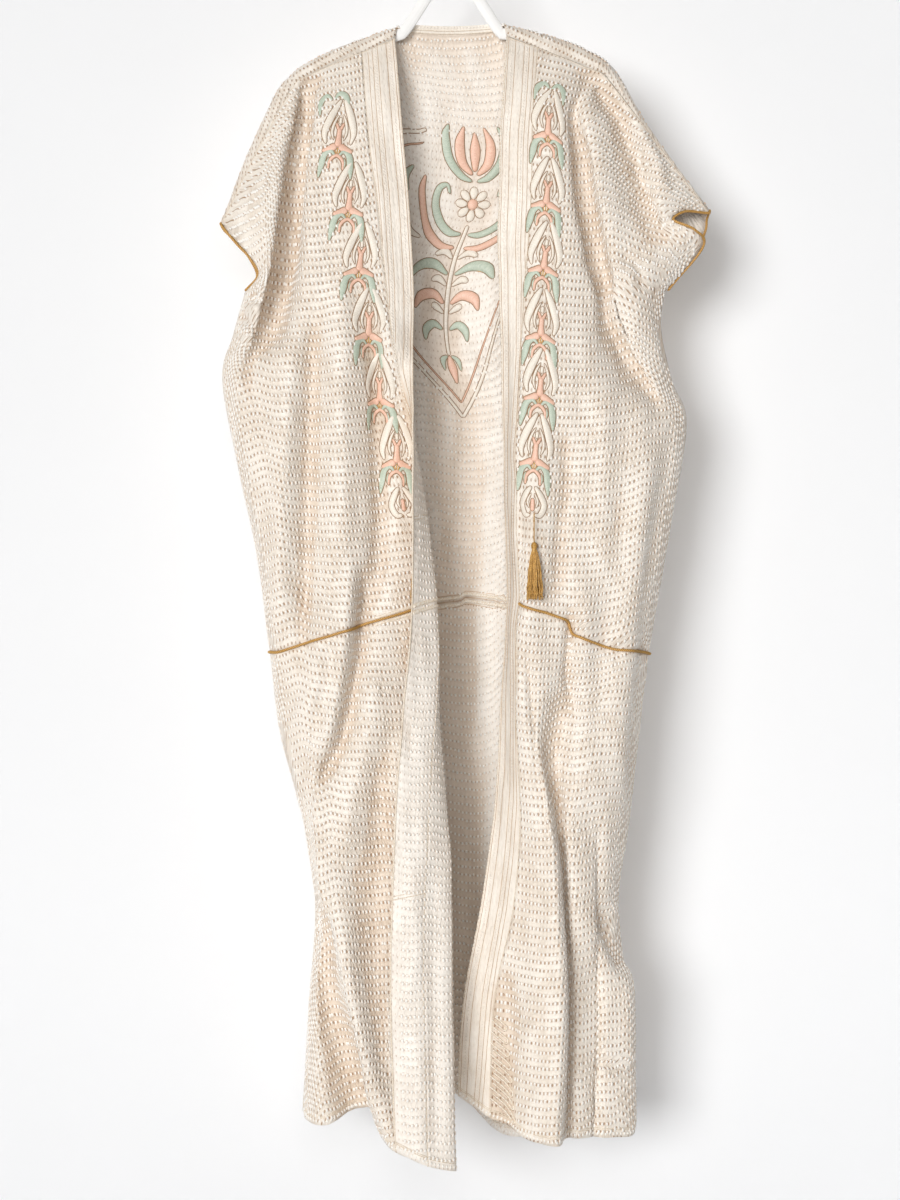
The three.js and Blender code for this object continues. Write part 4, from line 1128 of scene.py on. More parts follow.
# where the waist seam is pulled out of line: x from and to, drop, how far down, and how far it is felt
RIGHT_SLIPS = ((139, 147, 190, 236, 742, 11, 46), (92, 112, 134, 142, 728, -2.5, 30))
BACK_SLIPS = ((-46, -14, 8, 14, 703, 5, 26),)
RIBS = (15.5, 20.5, 33.0)               # raised ribs along a band, from the opening edge
DASHES = (8.0, 27.0)                    # columns of slanted dashes beside them
TACKED = (3.4, 12.4, 23.6, 30.4, 35.8)  # lines of fine tan stitching
LEFT_TURNS = 7.5                        # from this section down the left front shows its inside


def band_ribs(cloth, last=HEM):
    """The ribs of a front band, down to section last, and its smooth turned edge."""
    from_edge = abs(cloth.u - cloth.u[:1])
    raised = 0.45 * np.exp(-(((from_edge - 2.5) / 2.4) ** 4))
    ribs = sum(np.exp(-(((from_edge - rib) / 1.7) ** 2)) for rib in RIBS)
    raised += 0.5 * ribs * np.clip(last + 1 - cloth.ts, 0, 1)
    return np.where(from_edge < BAND - 1, raised, 0)


def left_band_ribs(cloth):
    """The left band is plain from where it shows its facing."""
    return band_ribs(cloth, LEFT_TURNS - 0.5)


left_skin = front_skin(LEFT_SECTIONS, 1)
right_skin = front_skin(RIGHT_SECTIONS, -1)
across_front = np.concatenate([even_steps((0, BAND), 1.6), even_steps(FRONT_ACROSS[1:], 3.9)[1:]])
left_cloth = Cloth(left_skin, across_front, row_steps(left_skin, 0, 4.8), 72, LEFT_CREASES, left_band_ribs, 11)
right_cloth = Cloth(right_skin, across_front, row_steps(right_skin, 0, 4.8), 72, RIGHT_CREASES, band_ribs, 12,
                    slips=RIGHT_SLIPS)
whole_back = back_skin(left_skin, right_skin)
back_cloth = Cloth(whole_back, even_steps([share * BACK_WIDTH for share in BACK_SHARE], 6.4),
                   row_steps(whole_back, -1, 6.4), BACK_WIDTH / 2, BACK_CREASES, seed=13, sewn=(0, -1),
                   slips=BACK_SLIPS)
fronts = {"left": left_cloth, "right": right_cloth}


def cut(piece, nodes, slot, flat=None, area=None):
    """Attaches a finished piece to the root and hides the model parts that it stands for. slot, flat and area are not
    used.
    """
    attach(piece, "root")
    if nodes:
        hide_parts(*nodes)


SEAM = left_cloth.at_c(BAND)            # the grid column of the band's seam, on both fronts
CUTS = {     # width and length of each cut piece, and its area where the cut isn't a rectangle
    "front_left_upper": ((0.28, 0.72), 0.152), "front_left_lower": ((0.33, 0.67), 0.175),
    "front_right_upper": ((0.29, 0.75), 0.150), "front_right_lower": ((0.28, 0.64), 0.142),
    "front_band_left": ((0.041, 1.34), None), "front_band_right": ((0.041, 1.30), None),
    "back_upper": ((0.84, 0.77), 0.40), "back_lower": ((0.51, 0.62), 0.285),
    "back_neck_band": ((0.11, 0.01), None),
}
for side, cloth in fronts.items():
    for part, (i0, i1, j0, j1), slot, finish in (
            (f"front_{side}_upper", (SEAM, cloth.side, 0, cloth.waist), "cotton", (COTTON, COTTON_INSIDE_PAINTED_LIGHTER)),
            (f"front_{side}_lower", (SEAM, cloth.side, cloth.waist, cloth.hem), "cotton", (COTTON, COTTON_INSIDE_PAINTED_LIGHTER)),
            (f"front_band_{side}", (0, SEAM, 0, cloth.hem), "band_cotton",
             (BAND_COTTON, COTTON_INSIDE_PAINTED_LIGHTER if side == "left" else BAND_COTTON))):
        piece = shell("cloth_" + part, cloth, i0, i1, j0, j1, finish)
        cut(piece, [part], slot, *CUTS[part])
across_neck = [back_cloth.at_c(BACK_SHARE[line] * BACK_WIDTH) for line in (3, 7)]
neckline = back_cloth.at_t(0)
back_upper = shell("cloth_back_upper", back_cloth, 0, back_cloth.side, 0, back_cloth.waist, (COTTON, COTTON_INSIDE_PAINTED_LIGHTER),
                   lambda i, j: (j < neckline) & (i >= across_neck[0]) & (i < across_neck[1]))
cut(back_upper, ["back_yoke", "back_upper"], "cotton", *CUTS["back_upper"])
back_lower = shell("cloth_back_lower", back_cloth, 0, back_cloth.side, back_cloth.waist, back_cloth.hem,
                   (COTTON, COTTON_INSIDE_PAINTED_LIGHTER))
cut(back_lower, ["back_lower"], "cotton", *CUTS["back_lower"])

# the neck band stands on the neckline, going on the way the back comes up to it
NECK_STOP = 6.0                       # how far it ends before the front bands
NECK_BAND = 10.0                      # how far it stands up
neck_cs = np.linspace(BACK_SHARE[4] * BACK_WIDTH + NECK_STOP, BACK_SHARE[6] * BACK_WIDTH - NECK_STOP, 61)
neck_foot = whole_back.grid(neck_cs, np.array([0.0, 1.0]))
neck_rise = neck_foot[:, 0] - neck_foot[:, 1]
neck_rise /= np.linalg.norm(neck_rise, axis=-1, keepdims=True)
neck_up = np.linspace(NECK_BAND, 0.3, 9)
neck_points = neck_foot[:, :1] + neck_rise[:, None] * neck_up[None, :, None]
neck_out = outward(neck_points, 1)
neck_measure = np.stack(np.broadcast_arrays(neck_cs[:, None], neck_up[None]), axis=-1)
neck_band = wall("cloth_neck_band", neck_points, neck_out, neck_measure, 1, (BAND_COTTON, BAND_COTTON))
cut(neck_band, ["back_neck_band"], "band_cotton", *CUTS["back_neck_band"])


# ---- pips ------------------------------------------------------------------------------
PIP_OUTSIDE = (3.1, 5.2, 1.0)         # a pip's width along its row, height and rise
PIP_INSIDE = (2.7, 3.8, 0.9)
PIP_TURNED = (3.1, 5.0, 1.0)
STRAYS = 0.35 / 4.5                   # how far a pip strays from its place, in steps of the grid
STRIP_HALF = 18.0                     # half width of the embroidered strips on the fronts
STRIP_SPAN = (86.0, 606.0)
YOKE_SPAN = (132.0, 486.0)            # the embroidery on the back, below the neckline


def yoke_half(down):
    """Half width of the ground of the back's embroidery."""
    return np.interp(down, (YOKE_SPAN[0], 150, 235, YOKE_SPAN[1]), (20, 96, 120, 0), left=-1, right=-1)


def add_pips(name, cloth, i0, i1, j0, j1, face, skip, size, seed):
    """Pips on one face of a panel, but for the places where skip is true."""
    i, j, across, down = cloth.woven_rows(i0, i1).T
    keep = (j > j0 + 1.2) & (j < j1 - 1.2) & ~skip(across, down)
    strayed = np.random.default_rng(seed).normal(0, STRAYS, (2, keep.sum()))
    i, j = i[keep] + strayed[0], j[keep] + strayed[1]
    points = cloth.lift(i, j, face * (FACE - 0.2))
    cut(scatter(name, PIP, points, cloth.frames(i, j, face), size, PIP_SILK, 0.16, seed), [], "cotton")


def beside_strip(across, down):
    """The ground of an embroidered strip."""
    return (abs(across) < STRIP_HALF) & (down > STRIP_SPAN[0]) & (down < STRIP_SPAN[1])


LOOPS_UP = 122.0                      # the corner loops start this far above the hem
foot_of_band = right_cloth.v[SEAM, -1]


def band_seam(down):
    """The cloth's measure across, at the right band's seam."""
    return np.interp(down, right_cloth.v[SEAM], right_cloth.u[SEAM])


def beside_loops(across, down):
    """The ground of the strips and of the slanting loops at the right front's lower corner."""
    below = down - (foot_of_band - LOOPS_UP)
    return beside_strip(across, down) | ((below > 4) & (across < band_seam(down) + 15 + 0.24 * below))


def beside_back_outside(across, down):
    """The ground of the back's embroidery, and the plain cloth under the neck band."""
    return (abs(across) < yoke_half(down)) | ((down < 12) & (abs(across) < 98))


def beside_back_inside(across, down):
    """The same inside, where the plain cloth is narrower."""
    return (abs(across) < yoke_half(down)) | (down < 6)


def nowhere(across, down):
    """No ground is left plain."""
    return np.zeros(across.shape, bool)


for seed, (side, cloth) in enumerate(fronts.items()):
    for part, j0, j1 in (("upper", 0, cloth.waist), ("lower", cloth.waist, cloth.hem)):
        add_pips(f"pips_front_{side}_{part}", cloth, SEAM, cloth.side, j0, j1, 1,
                 beside_strip if side == "left" else beside_loops, PIP_OUTSIDE, 20 + seed)
for part, j0, j1 in (("upper", 0, back_cloth.waist), ("lower", back_cloth.waist, back_cloth.hem)):
    add_pips(f"pips_back_{part}", back_cloth, 0, back_cloth.side, j0, j1, 1, beside_back_outside, PIP_OUTSIDE, 24)
    add_pips(f"pips_inside_{part}", back_cloth, *across_neck, j0, j1, -1, beside_back_inside, PIP_INSIDE, 25)
add_pips("pips_turned_edge", left_cloth, left_cloth.at_c(9), left_cloth.at_c(125), left_cloth.at_t(7.6),
         left_cloth.hem, -1, nowhere, PIP_TURNED, 27)


# ---- bands -----------------------------------------------------------------------------
def down_band(cloth, from_edge, gap, first=6.0, last=8.0):
    """Grid places down a band, gap apart, at a distance from its opening edge."""
    middle = cloth.at_c(from_edge)
    j = np.interp(np.arange(first, cloth.v[middle].max() - last, gap), cloth.v[middle], np.arange(len(cloth.ts)))
    i = np.array([np.interp(from_edge, abs(cloth.u[:SEAM + 1, round(row)] - cloth.u[0, round(row)]),
                            np.arange(SEAM + 1)) for row in j])
    return i, j


DASH = (1.5, 3.3, 0.55)               # a dash's width, length and rise
DASH_SLANT = 0.5
tacked = []
for seed, (side, cloth) in enumerate(fronts.items()):
    turns = cloth.row(LEFT_TURNS)
    for from_edge in TACKED:
        i, j = down_band(cloth, from_edge, 4.0, 1.0, 1.0)
        shown = i < SEAM - 0.6
        i, j = i[shown], j[shown]
        tacked.append(cloth.lift(i, j, FACE + 0.1))
        if side == "left":
            i, j = i[j < turns], j[j < turns]
        tacked.append(cloth.lift(i, j, -FACE - 0.1))
    i, j = (np.concatenate(part) for part in zip(*(down_band(cloth, column, 3.9) for column in DASHES)))
    for face, way in ((1, "out"), (-1, "in")) if side == "left" else ((1, "out"),):
        if face < 0:
            i, j = i[j < turns], j[j < turns]
        dashes = scatter(f"band_dashes_{side}_{way}", STITCH, cloth.lift(i, j, face * FACE),
                         cloth.frames(i, j, face, slant=DASH_SLANT), DASH, BAND_COTTON, 0.1, 30 + seed)
        cut(dashes, [], "band_cotton")
tacked = lay_lines("band_stitching", tacked, BAND_THREAD, 0.36, 6.0, 3)
cut(tacked, [], "band_cotton")


# ---- seams -----------------------------------------------------------------------------
def run_down(cloth, c, t0, t1, height):
    """A line of points down a cloth at one nominal width."""
    j = np.arange(cloth.row(t0), cloth.row(t1) + 0.01, 1.0)
    return cloth.lift(np.full(len(j), cloth.column(c)), j, height)


def run_across(cloth, t, c0, c1, height, up=0.0):
    """A line of points across a cloth, up millimetres above section t."""
    i = np.arange(cloth.column(c0), cloth.column(c1) + 0.01, 0.5)
    j = np.full(len(i), cloth.row(t))
    if up:
        j = cloth.rows_at(i, cloth.sample(cloth.v, i, j) - up)
    return cloth.lift(i, j, height)


HEM_LINES = (9, 11)                   # two lines of stitching, this far above the hem
FRONT_WIDTH = FRONT_ACROSS[-1]
seams = [neck_foot[:, 0] + neck_rise * rise - neck_out[:, 4] * FACE for rise in (0.6, 4.2)]
for cloth in fronts.values():
    seams += [run_down(cloth, c, 0, HEM, height) for c in (BAND, 1.2) for height in (FACE, -FACE)]
    seams.append(run_across(cloth, 0.03, 0, FRONT_WIDTH, FACE))
for cloth, width in ((left_cloth, FRONT_WIDTH), (right_cloth, FRONT_WIDTH), (back_cloth, BACK_WIDTH)):
    seams += [run_across(cloth, HEM, 1, width - 1, height, up) for up in HEM_LINES for height in (FACE, -FACE)]
for t in (9.0, 13.0):                 # joints of the left band's facing
    seams += [run_across(left_cloth, t, 1, BAND, -FACE, up) for up in (0, 4)]
sewn = lay_lines("sewn_lines", seams, SEAM_THREAD, 0.6, 5.0, 4)
cut(sewn, [], "cotton")

# short upright stitches along the hems
HEM_STITCH = (2.0, 4.6, 0.9)          # width, length and rise
HEM_STITCH_GAP = 4.9
for name, cloth, faces in (("left", left_cloth, (1, -1)), ("right", right_cloth, (1,)), ("back", back_cloth, (1, -1))):
    i = np.interp(np.arange(cloth.u[2, -1], cloth.u[-3, -1], HEM_STITCH_GAP), cloth.u[:, -1], np.arange(len(cloth.cs)))
    j = cloth.rows_at(i, cloth.v[np.round(i).astype(int), -1] - HEM_STITCH[1])
    for face in faces:
        upright = scatter(f"hem_stitches_{name}_{'out' if face > 0 else 'in'}", STITCH,
                          cloth.lift(i, j, face * (FACE - 0.1)), cloth.frames(i, j, face), HEM_STITCH,
                          PIP_SILK, 0.12, 44)
        cut(upright, [], "cotton")

# slanting loops of couched cord at the right front's lower corner, longer towards the hem
LOOP_COUNT, LOOP_GAP, LOOP_SLANT, LOOP_HALF = 8, 13.5, 0.6, 3.1
LOOP_LONG, LOOP_GROWS = 17.0, 3.4
loops = []
for k in range(LOOP_COUNT):
    long = LOOP_LONG + LOOP_GROWS * k
    start = foot_of_band - LOOPS_UP + LOOP_GAP * k
    s = np.linspace(0, 1, 9)
    arc = np.linspace(math.pi / 2, -math.pi / 2, 7)
    along = np.concatenate([long * s, long + LOOP_HALF * np.cos(arc)[1:-1], long * s[::-1]])
    aside = np.concatenate([np.full(9, LOOP_HALF), LOOP_HALF * np.sin(arc)[1:-1], np.full(9, -LOOP_HALF)])
    u = band_seam(start) + 1 + along * math.cos(LOOP_SLANT) - aside * math.sin(LOOP_SLANT)
    v = start + along * math.sin(LOOP_SLANT) + aside * math.cos(LOOP_SLANT)
    loops.append(right_cloth.lift(*right_cloth.find(u, v), FACE + 0.7))
# a brown thread line 1.3 mm below each loop is a painted shadow under it
below_loops = [loop - np.array([0, 0, 1.3]) for loop in loops]
loop_painted_shadow = lay_lines("corner_loop_stitching", below_loops, BROWN_THREAD, 0.5, 3.5, 3)
cut(loop_painted_shadow, [], "cotton")
loops = lay_lines("corner_loops", loops, PIP_SILK_THREAD, 1.15, 2.5, 6)
cut(loops, [], "cotton")

# the waist seam inside: two rolls of turned-in cloth with tan lines of stitching beside them, and
# a row of small dark stitches below
rolls = [run_across(back_cloth, WAIST, 4, BACK_WIDTH - 4, -FACE, up) for up in (5, -4)]
rolls += [run_across(left_cloth, WAIST, 3, 110, -FACE, up) for up in (4, -4)]
rolls = lay_lines("rolled_waist_seams", rolls, PIP_SILK_THREAD, 2.4, 3.0, 8)
cut(rolls, [], "cotton")
beside_rolls = [run_across(back_cloth, WAIST, 4, BACK_WIDTH - 4, -FACE, up) for up in (8.2, 0.5, -7.6)]
beside_rolls = lay_lines("waist_roll_stitching", beside_rolls, BAND_THREAD, 0.4, 6.0, 4)
cut(beside_rolls, [], "cotton")
foot, rise, out = neck_foot[1::2, 0], neck_rise[1::2], neck_out[1::2, 4]
slanting = np.broadcast_to((0.8, 0.0, -0.6), out.shape)
stitches = scatter("neck_band_stitches", STITCH, foot + rise * 7.4 - out * FACE,
                   euler(slanting, np.cross(-out, slanting), -out), (1.4, 3.0, 0.5), BAND_COTTON, 0.1, 46)
cut(stitches, [], "band_cotton")
i = np.arange(back_cloth.column(285), back_cloth.column(BACK_WIDTH - 6), 0.66)
j = back_cloth.rows_at(i, back_cloth.sample(back_cloth.v, i, np.full(len(i), back_cloth.row(WAIST))) + 8.5)
stitches = scatter("waist_stitches_inside", STITCH, back_cloth.lift(i, j, -FACE),
                   back_cloth.frames(i, j, -1), (0.9, 1.5, 0.4), BROWN_THREAD, 0.2, 41)
cut(stitches, [], "cotton")


def piping(cloth, c, t0, t1, waver, seed):
    """The bound edge of a front: a line down one nominal width that wavers a little."""
    rng = np.random.default_rng(seed)
    j = np.arange(cloth.row(t0), cloth.row(t1) + 0.01, 0.5)
    sway = sum(np.sin(2 * math.pi * j / rng.uniform(1.8, 4.5) + rng.uniform(0, 6)) for _ in range(3)) / 3
    return cloth.lift(cloth.column(c) + 0.5 + waver * sway / 1.3, j, 0.0)


edge = lay_lines("bound_edge_left", [piping(left_cloth, 0, 0.2, HEM - 0.1, 0.15, 51)], SEAM_THREAD, 1.0, 3.5, 6)
cut(edge, [], "band_cotton")
# the right edge is oversewn, so that it stands in small beads
BEAD = 5.0                            # length of one
STEP = BEAD / 4
edge = piping(right_cloth, 0, 0.2, HEM - 0.1, 0.3, 52)
reach = np.concatenate([[0], np.cumsum(np.linalg.norm(np.diff(edge, axis=0), axis=1))])
steps = np.arange(0, reach[-1], STEP)
beads = [1 + 0.32 * np.sin(2 * math.pi * steps / BEAD)]
edge = np.stack([np.interp(steps, reach, edge[:, axis]) for axis in range(3)], axis=1)
edge = lay_lines("bound_edge_right", [edge], PIP_SILK_THREAD, 1.25, STEP, 5, swells=beads)
cut(edge, [], "band_cotton")


# ---- gold cord -------------------------------------------------------------------------
CORD = 1.85                           # radius of the cord on the seams


def gold_cord(name, line, radius=CORD, step=0.9, turns=130, closed=False):
    """Three gold strands twisted together."""
    return lay_lines(name, [line], GOLD_CORD, radius, step, 9, 3, 0.16, turns, closed=closed)


for side, cloth, first, last in (("left", left_cloth, BAND + 3, FRONT_WIDTH - 3),
                                 ("right", right_cloth, BAND + 3, FRONT_WIDTH - 3),
                                 ("back", back_cloth, 3, BACK_WIDTH - 3)):
    line = run_across(cloth, WAIST, first, last, FACE + 1.3)
    cut(gold_cord(f"gold_cord_waist_{side}", line), [f"waist_cord_{side}"], "gold_cord")


def round_mouth(cloth, back_column, inwards):
    """The closed line round a sleeve mouth, or inwards columns in from it."""
    front = cloth.place[-1 - inwards, :cloth.at_t(UNDERARM)]
    back = back_cloth.place[abs(back_column - inwards), back_cloth.at_t(0):back_cloth.at_t(UNDERARM)]
    return np.concatenate([front, back[::-1]])


for side, cloth in fronts.items():
    back_column = 0 if side == "left" else back_cloth.side
    loop = round_mouth(cloth, back_column, 0)
    away = loop - round_mouth(cloth, back_column, 2)
    along = np.roll(loop, -1, axis=0) - np.roll(loop, 1, axis=0)
    along /= np.linalg.norm(along, axis=-1, keepdims=True)
    away -= along * (away * along).sum(-1, keepdims=True)
    for _ in range(4):
        away = (np.roll(away, 1, axis=0) + away + np.roll(away, -1, axis=0)) / 3
    away /= np.linalg.norm(away, axis=-1, keepdims=True)
    cord = gold_cord(f"gold_cord_sleeve_{side}", loop + away * (CORD + 0.2), closed=True)
    cut(cord, [f"sleeve_cord_{side}"], "gold_cord")


# ---- tassels ---------------------------------------------------------------------------
TASSEL_CORD = 33.0                    # what shows of it
TASSEL_CORD_RADIUS = 0.9
IN_HEAD = 12.0                        # and what runs on through the tassel's head
TASSEL_FLAT = 0.45                    # its depth over its width
TASSEL_PROFILE = ((10, 3), (14, 5), (30, 8), (55, 10.6), (69, 11.4))    # below its top, half width
HEAD_DOWN = (0, 1.5, 4, 7, 9.5, 12, 13.5)
HEAD_HALF = (1.2, 3.1, 4.3, 4.0, 2.8, 2.9, 3.9)
HEAD_THREAD = 0.85                    # drop of one turn of the thread wound round the head
HEAD_FILLING = (2, 5, 7, 7, 6, 5, 5, 6, 7)
TASSEL_THREADS = 96
TASSELS = {  # x, drop and out of the cord's exit, how much narrower, and the turn about the cord
    "left": (-43.5, 606, 39.5, 0.7, 0.66), "right": (97, 601, 76, 1, 0)}
for seed, (side, (x, drop, out, squeezed, turned)) in enumerate(TASSELS.items()):
    rng = np.random.default_rng(40 + seed)
    top = place(x, drop + TASSEL_CORD, out)

    def hang(across, below, depth):
        """Points of a tassel from their place across it, below its top and forward of it."""
        a, d = across * squeezed, depth * squeezed * TASSEL_FLAT
        return top + np.stack([a * math.cos(turned) - d * math.sin(turned),
                               a * math.sin(turned) + d * math.cos(turned), -below], axis=-1)

    fall = np.linspace(place(x, drop, out), place(x, drop + TASSEL_CORD + IN_HEAD, out), 31)
    cord = gold_cord(f"gold_tassel_cord_{side}", fall, TASSEL_CORD_RADIUS, 0.7, 210)
    below = np.linspace(0.6, HEAD_DOWN[-1], 240)
    swell = np.interp(below, HEAD_DOWN, HEAD_HALF) - 0.45
    angle = 2 * math.pi * below / HEAD_THREAD
    lines = [hang(swell * np.cos(angle), below, swell * np.sin(angle) / TASSEL_FLAT * 0.62),
             hang(np.zeros(9), np.linspace(0.5, 14, 9), np.zeros(9))]
    sizes = [np.ones(240), np.array(HEAD_FILLING, float)]
    for _ in range(TASSEL_THREADS):
        share = math.sqrt(rng.uniform(0.02, 1))
        way = rng.uniform(0, 2 * math.pi)
        length = rng.uniform(62, 69.2)
        s = np.linspace(9.5, length, 26)
        radius = np.interp(s, *zip(*TASSEL_PROFILE)) * share - 0.3
        wave = np.interp(s, (9, 30, 70), (0, 0.25, 0.8))
        a = radius * math.cos(way) + wave * np.sin(s / rng.uniform(2.4, 3.6) + way * 3)
        d = radius * math.sin(way) + wave * np.cos(s / rng.uniform(2.4, 3.6))
        lines.append(hang(np.clip(a, -11.4, 11.4), s, d))
        sizes.append(np.full(len(s), rng.uniform(0.8, 1.15)))
    tassel = lay_lines(f"gold_tassel_{side}", lines, GOLD_THREAD, 0.5, 3.0, 4, swells=sizes)
    cut(tassel, [f"tassel_{side}"], "gold_cord")
    cut(cord, [f"tassel_cord_{side}"], "gold_cord")


# ---- embroidery ------------------------------------------------------------------------
class Embroidery:
    """Strokes of padded silk on a cloth, each with a brown thread round it. A stroke is a line of
    (aside, down) in the cloth's own measure with a half width at each point."""

    def __init__(self, cloth, face=1):
        self.cloth, self.face = cloth, face
        self.strokes = {}
        self.rims = []

    def stroke(self, colour, line, widths, mirror=True, at=(0, 0), high=1.5, lean=0.0, bound=True):
        for way in ((1, -1) if mirror else (1,)):
            aside, down = (np.array(line, float) * (way, 1)).T
            turned = np.stack([aside * math.cos(lean) - down * math.sin(lean),
                               aside * math.sin(lean) + down * math.cos(lean)], axis=1)
            self.one(colour, turned + at, widths, high, bound)

    def one(self, colour, line, widths, high, bound):
        reach = np.concatenate([[0], np.cumsum(np.linalg.norm(np.diff(line, axis=0), axis=1))])
        s = np.linspace(0, reach[-1], max(6, math.ceil(reach[-1] / 1.9)) + 1)
        middle = through(reach, line, s)
        half = np.maximum(through(reach, np.array(widths, float)[:, None], s)[:, 0], 0.3)
        for end, away in ((half[0], s), (half[-1], reach[-1] - s)):      # rounded ends
            half = half * np.sqrt(np.clip(1 - np.clip(1 - away / end, 0, 0.995) ** 2, 0, 1))
        along = np.gradient(middle, axis=0)
        along /= np.maximum(np.linalg.norm(along, axis=1, keepdims=True), 1e-9)
        aside = np.stack([along[:, 1], -along[:, 0]], axis=1)
        turn = np.linspace(0, math.pi, 7)
        where = middle[:, None] + aside[:, None] * (half[:, None] * np.cos(turn))[..., None]
        height = np.minimum(0.7 * high, half * 0.55)[:, None] * (1 - abs(np.cos(turn)) ** 3)
        uv = np.stack([half[:, None] * (1 - abs(np.cos(turn))), np.broadcast_to(s[:, None], height.shape)], axis=-1)
        self.strokes.setdefault(colour, []).append((where, height, uv))
        if bound:
            self.rims += [where[:, 0], where[:, -1]]

    def sew(self, name, finishes):
        """One mesh for each colour, and one for the brown thread."""
        for colour, strokes in self.strokes.items():
            where = np.concatenate([w.reshape(-1, 2) for w, _, _ in strokes])
            height = np.concatenate([h.ravel() for _, h, _ in strokes])
            uv = np.concatenate([u.reshape(-1, 2) for _, _, u in strokes]) / 100
            i, j = self.cloth.find(where[:, 0], where[:, 1])
            points = self.cloth.lift(i, j, self.face * (FACE - 0.15 + height))
            faces, start = [], 0
            for w, _, _ in strokes:
                rows, columns = w.shape[:2]
                a = start + np.arange(rows * columns).reshape(rows, columns)
                b = np.roll(a, -1, axis=1)
                quads = np.stack([a[:-1], b[:-1], b[1:], a[1:]], axis=-1).reshape(-1, 4)
                made = [list(q) for q in quads] + [list(a[0][::-1]), list(a[-1])]
                faces += made if self.face * self.cloth.skin.facing < 0 else [f[::-1] for f in made]
                start += rows * columns
            piece = new_piece(f"{name}_{colour}", points, faces, uv, materials=(finishes[colour],))
            cut(piece, [], "cotton")
        lines = []
        for rim in self.rims:
            i, j = self.cloth.find(rim[:, 0], rim[:, 1])
            lines.append(self.cloth.lift(i, j, self.face * (FACE + 0.1)))
        outline = lay_lines(f"{name}_outline", lines, BROWN_THREAD, 0.45, 2.6, 3)
        cut(outline, [], "cotton")


SILKS = {"peach": PEACH_SILK, "mint": MINT_SILK, "cream": CREAM_SILK, "gold": GOLD_THREAD}


def flower(work, at, lean):
    """One flower of the front strips: a forked peach bloom with gold threads, mint leaves and a
    peach crescent below it, and puffed cream petals that reach up to the flower above."""
    def add(colour, line, widths, **rest):
        work.stroke(colour, line, widths, at=at, lean=lean, **rest)

    add("cream", ((2, -62), (8, -50), (14, -35), (18, -19), (15, -6)), (2, 4.2, 4.8, 4, 1.6), high=2.2)
    add("cream", ((2, -44), (7, -33), (9, -21), (6, -11)), (1, 1.9, 1.9, 0.9))
    add("cream", ((0, -40), (0, -31)), (2.4, 2.2), mirror=False)
    add("mint", ((2, 8), (8, 2), (15, 7), (18, 20), (20, 36)), (1.6, 2.8, 4.2, 4.4, 1.4), high=1.9)
    add("mint", ((9, 9), (11, 16), (10, 24)), (0.8, 1.6, 0.8))
    add("peach", ((-9, 25), (-8, 14), (0, 7), (8, 14), (9, 25)), (1.7, 2.2, 2.5, 2.2, 1.7), mirror=False, high=2.2)
    add("peach", ((0, -27), (0, -15), (0, -3)), (3.2, 3.4, 5.5), mirror=False, high=2)
    add("peach", ((1, -24), (5, -33)), (2.6, 1.5), high=2)
    add("peach", ((1, -5), (9, -1), (19, 3)), (5.2, 4.2, 2.4), high=2)
    add("gold", ((0, -3), (0, 10)), (0.8, 1), mirror=False, high=2.9, bound=False)
    add("gold", ((3.6, -4), (1.4, 9)), (0.8, 0.9), high=2.9, bound=False)


# the drop of each flower's middle, how far aside it is, and how far the flowers lean
STRIPS = {"left": ((160, 238, 312, 390, 467, 542), (11, 5, -1, 0, 0, -4), -0.2),
          "right": ((149, 233, 311, 392, 464, 542), (0, 0, 2, 1, 2, 0), -0.05)}
for side, cloth in fronts.items():
    work = Embroidery(cloth)
    drops, offsets, lean = STRIPS[side]
    centre = int(np.argmin(abs(cloth.cs - 72)))
    levels = [float(np.interp(drop, -cloth.place[centre, :, 2] - HOOK_RISE, cloth.v[centre])) for drop in drops]
    # the two fronts measure across opposite ways, so a lean to one side changes sign
    lean = lean if cloth.skin.facing > 0 else -lean
    first, last = (offsets[0], levels[0]), (offsets[-1], levels[-1])
    work.stroke("mint", ((1, -62), (8, -69), (16, -62), (18, -44)), (1.4, 3.6, 4.2, 1.2), at=first, high=1.9)
    work.stroke("cream", ((2, 26), (9, 36), (14, 48), (9, 60), (2, 60)), (2, 4, 4, 3.6, 2), at=last, high=2.2)
    work.stroke("cream", ((2, 34), (6, 44), (4, 52)), (1, 1.8, 1), at=last)
    work.stroke("peach", ((0, 40), (0, 56)), (2.4, 3), mirror=False, at=last)
    for level, offset in zip(levels, offsets):
        flower(work, (offset, level), lean)
    work.sew(f"embroidery_{side}", SILKS)


